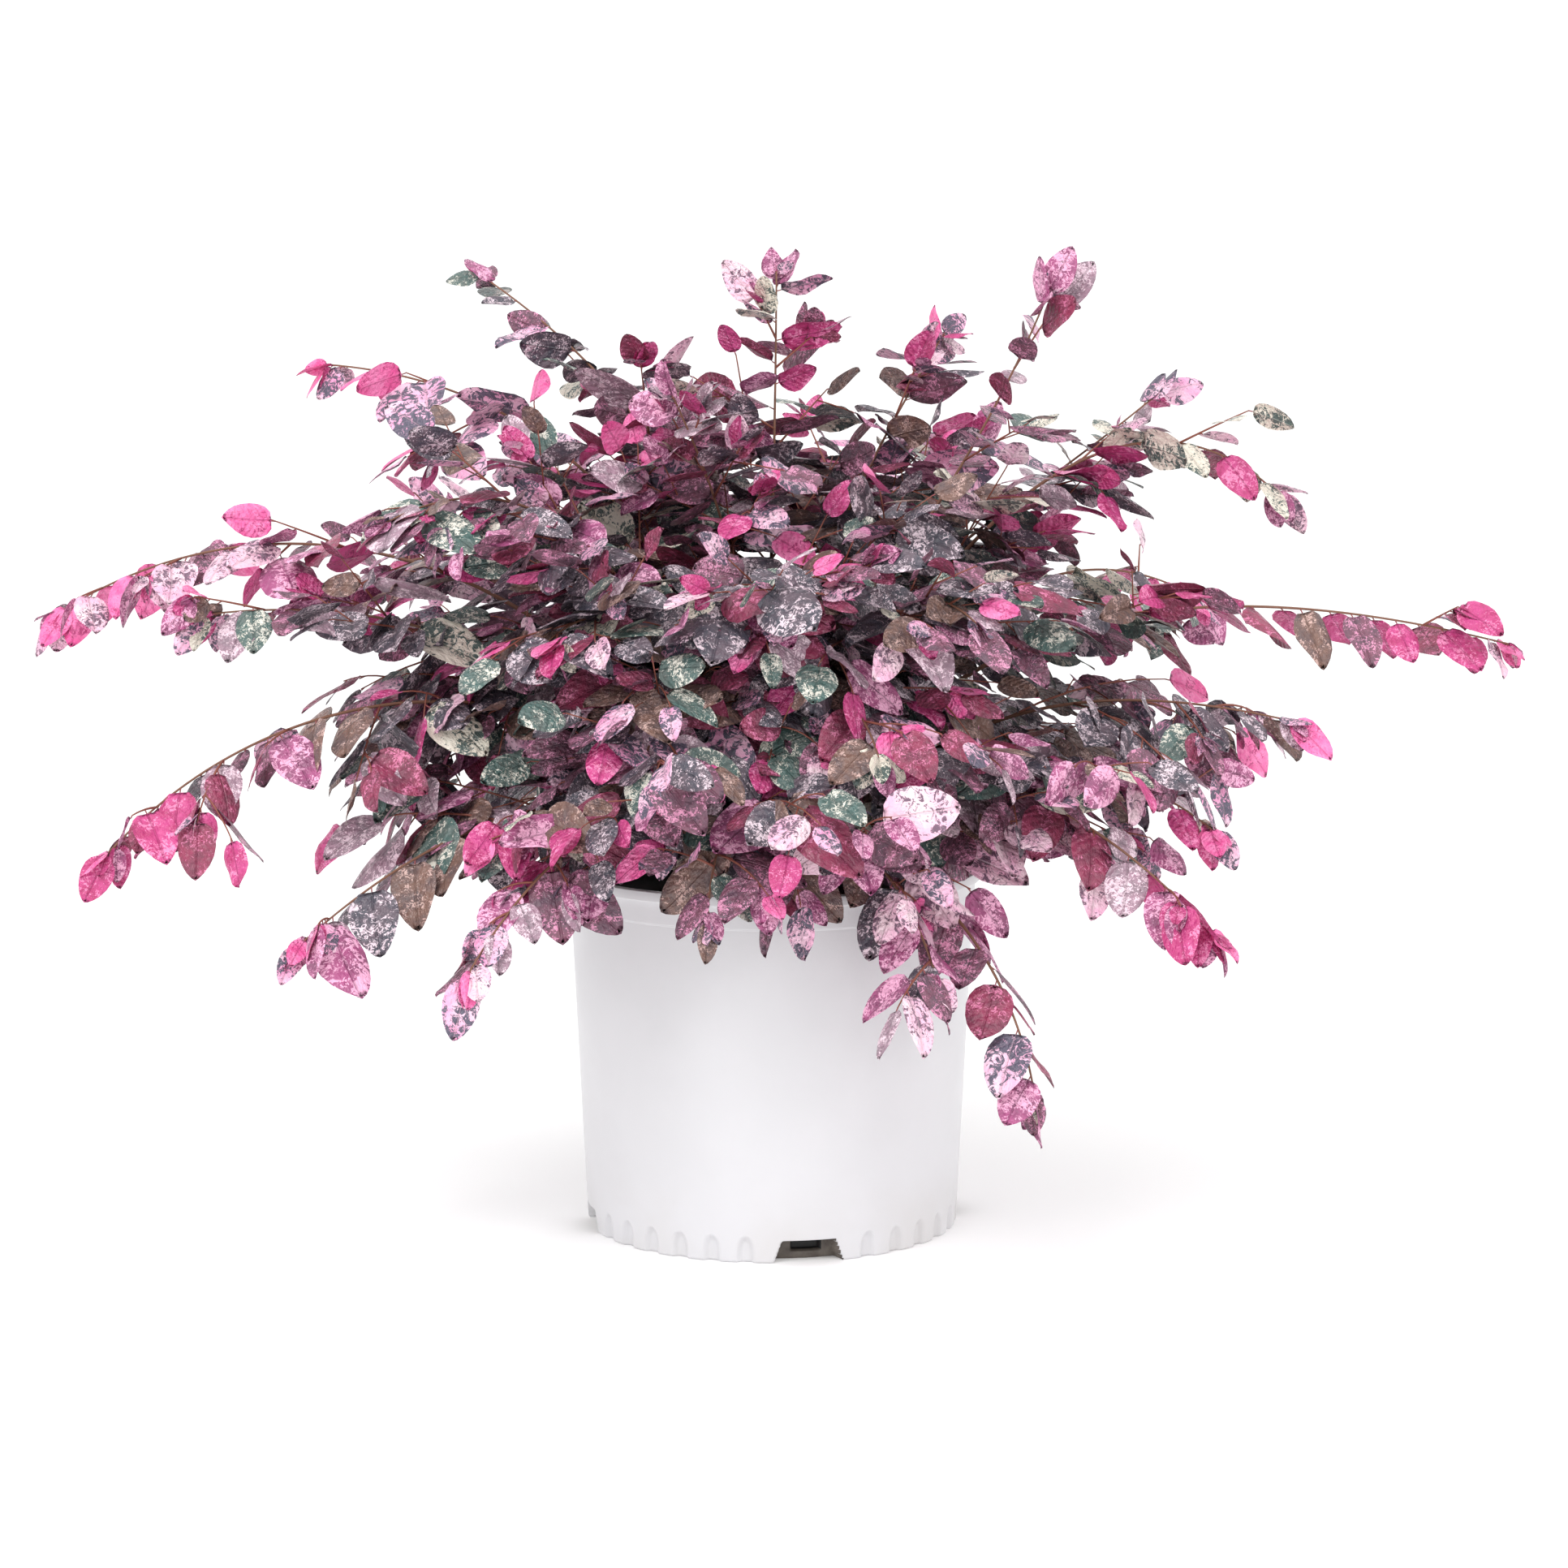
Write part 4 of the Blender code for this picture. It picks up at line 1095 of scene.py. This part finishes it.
def make_foliage(shrub, settings):
    """Twigs, leaf stalks and the leaves, one piece for each colouring of the leaves."""
    twigs = grow_shrub(shrub)
    rng = np.random.default_rng(shrub.seed + 2)
    leaves = grow_leaves(twigs, shrub, settings)
    points = leaf_points(leaves, settings, rng)
    fits = (clear_of_pot(points) & within_box(points)).all(axis=1)
    leaves = [column[fits] for column in leaves]
    points = points[fits]
    canes = np.array([twig.cane for twig in twigs])[leaves[7]]
    finishes = deal_finishes(leaves, canes, rng)
    stems = [(twig.points, twig.radii) for twig in twigs if twig.order == 0]
    shoots = [(twig.points, twig.radii) for twig in twigs if twig.order]
    masses = [f"foliage_{cane.name}" for cane in CANES]
    brown = twig_bark("cane_skin", (122, 84, 66), 0.65)
    tubes, faces = joined_tubes(stems, 7)
    cane_stems = add_piece("cane_stems", tubes, faces, [brown])
    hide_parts(*masses)
    red = twig_bark("twig_skin", (134, 76, 62), 0.6)
    tubes, faces = joined_tubes(shoots, 5)
    add_piece("twigs", tubes, faces, [red])
    roots, heading = leaves[0], leaves[1]
    bases = points[:, 0]
    stalks = [(np.array([a, (a + b) / 2, b]), np.full(3, 0.0005)) for a, b in zip(roots, bases)]
    tubes, faces = joined_tubes(stalks, 3)
    pink = twig_bark("stalk_skin", (150, 82, 84), 0.6)
    add_piece("leaf_stalks", tubes, faces, [pink])
    quads, fans = blade_faces()
    per_leaf = points.shape[1]
    for number, finish in enumerate(LEAF_FINISHES):
        own = points[finishes == number]
        first = np.arange(len(own))[:, None, None] * per_leaf
        faces = [(first + quads[None]).reshape(-1, 4), (first + fans[None]).reshape(-1, 3)]
        maps = leaf_maps(len(own), rng)
        material = leaf_material(finish)
        add_piece(f"leaves_{finish.name}", own.reshape(-1, 3), faces, [material], maps)
    print(f"{len(twigs)} twigs, {len(points)} leaves, {np.bincount(finishes)}")


def make_stage(settings):
    """A white floor that curves up behind, even light with one large lamp, and the camera."""
    part = np.linspace(0, 1, 60)
    bend = np.clip((part - 0.45) / 0.35, 0, 1) * math.pi / 2
    depth = np.where(part < 0.45, -6 + part / 0.45 * 8.5, 2.5 + 2.0 * np.sin(bend))
    height = 2.0 * (1 - np.cos(bend)) + np.clip(part - 0.8, 0, 1) * 20
    across = np.linspace(-7, 7, 8)
    x, y = np.meshgrid(across, depth)
    z = np.broadcast_to(height[:, None], x.shape)
    mesh = bpy.data.meshes.new("backdrop")
    points = np.stack([x, y, z], -1).reshape(-1, 3)
    mesh.from_pydata(points.tolist(), [], grid_faces(60, 8).tolist())
    mesh.polygons.foreach_set("use_smooth", np.ones(len(mesh.polygons), bool))
    paper = Nodes("backdrop_paper", 0.9, (0.93, 0.93, 0.93))
    fibre = paper.noise(paper.object_place(), 90, 3)
    paper.shader.inputs["Emission Color"].default_value = (1, 1, 1, 1)
    paper.shader.inputs["Emission Strength"].default_value = settings.glow
    mesh.materials.append(paper.finish(None, None, fibre, 0.0002, 0.1))
    backdrop = bpy.data.objects.new("backdrop", mesh)
    bpy.context.scene.collection.objects.link(backdrop)
    world = bpy.data.worlds.new("even_light")
    world.use_nodes = True
    world.node_tree.nodes["Background"].inputs["Color"].default_value = (1, 1, 1, 1)
    world.node_tree.nodes["Background"].inputs["Strength"].default_value = settings.surround
    bpy.context.scene.world = world
    for name, place, turn, size, power in (
        ("key_lamp", (-1.1, -1.6, 2.3), (38, 0, -34), 1.6, settings.key),
        ("fill_lamp", (1.8, -1.4, 1.3), (62, 0, 52), 1.6, 0.35 * settings.key),
    ):
        lamp = bpy.data.lights.new(name, "AREA")
        lamp.size = size
        lamp.energy = power
        obj = bpy.data.objects.new(name, lamp)
        obj.location = place
        obj.rotation_euler = [math.radians(angle) for angle in turn]
        bpy.context.scene.collection.objects.link(obj)
    camera = bpy.data.cameras.new("camera")
    camera.lens = CAMERA_LENS
    camera.sensor_width = 36
    camera.clip_end = 50
    seen_from = bpy.data.objects.new("camera", camera)
    seen_from.location = CAMERA_PLACE
    seen_from.rotation_euler = (CAMERA_PITCH, 0, 0)
    bpy.context.scene.collection.objects.link(seen_from)
    bpy.context.scene.camera = seen_from
    bpy.context.scene.view_settings.view_transform = "Standard"


class FRINGE_OT_pot(bpy.types.Operator):
    """Build the nursery pot"""

    bl_idname = "fringe.pot"
    bl_label = "Pot"

    def execute(self, context):
        make_pot(context.scene.fringe_pot)
        return {"FINISHED"}


class FRINGE_OT_soil(bpy.types.Operator):
    """Build the potting soil and its chips of bark"""

    bl_idname = "fringe.soil"
    bl_label = "Potting soil"

    def execute(self, context):
        make_soil(context.scene.fringe_pot)
        return {"FINISHED"}


class FRINGE_OT_limbs(bpy.types.Operator):
    """Build the stem and the bare boughs"""

    bl_idname = "fringe.limbs"
    bl_label = "Stem and boughs"

    def execute(self, context):
        make_limbs()
        return {"FINISHED"}


class FRINGE_OT_foliage(bpy.types.Operator):
    """Grow the twigs and leaves"""

    bl_idname = "fringe.foliage"
    bl_label = "Twigs and leaves"

    def execute(self, context):
        make_foliage(context.scene.fringe_shrub, context.scene.fringe_leaves)
        return {"FINISHED"}


class FRINGE_OT_stage(bpy.types.Operator):
    """Set up the floor, light and camera"""

    bl_idname = "fringe.stage"
    bl_label = "Stage"

    def execute(self, context):
        make_stage(context.scene.fringe_stage)
        return {"FINISHED"}


OPERATORS = (FRINGE_OT_pot, FRINGE_OT_soil, FRINGE_OT_limbs, FRINGE_OT_foliage, FRINGE_OT_stage)
GROUPS = {
    "fringe_pot": PotSettings,
    "fringe_shrub": ShrubSettings,
    "fringe_leaves": LeafSettings,
    "fringe_stage": StageSettings,
}


class FRINGE_PT_panel(bpy.types.Panel):
    """Lists the plant's settings and the steps that build it"""

    bl_idname = "FRINGE_PT_panel"
    bl_label = "Fringe flower"
    bl_space_type = "VIEW_3D"
    bl_region_type = "UI"
    bl_category = "Fringe flower"

    def draw(self, context):
        for name, group in GROUPS.items():
            for setting in group.__annotations__:
                self.layout.prop(getattr(context.scene, name), setting)
        for operator in OPERATORS:
            self.layout.operator(operator.bl_idname)


def register():
    for item in (*GROUPS.values(), *OPERATORS, FRINGE_PT_panel):
        bpy.utils.register_class(item)
    for name, group in GROUPS.items():
        setattr(bpy.types.Scene, name, PointerProperty(type=group))


def unregister():
    for name in GROUPS:
        delattr(bpy.types.Scene, name)
    for item in (FRINGE_PT_panel, *reversed(OPERATORS), *GROUPS.values()):
        bpy.utils.unregister_class(item)


def main():
    register()
    for build in (
        bpy.ops.fringe.pot,
        bpy.ops.fringe.soil,
        bpy.ops.fringe.limbs,
        bpy.ops.fringe.foliage,
        bpy.ops.fringe.stage,
    ):
        build()


if __name__ == "__main__":
    main()
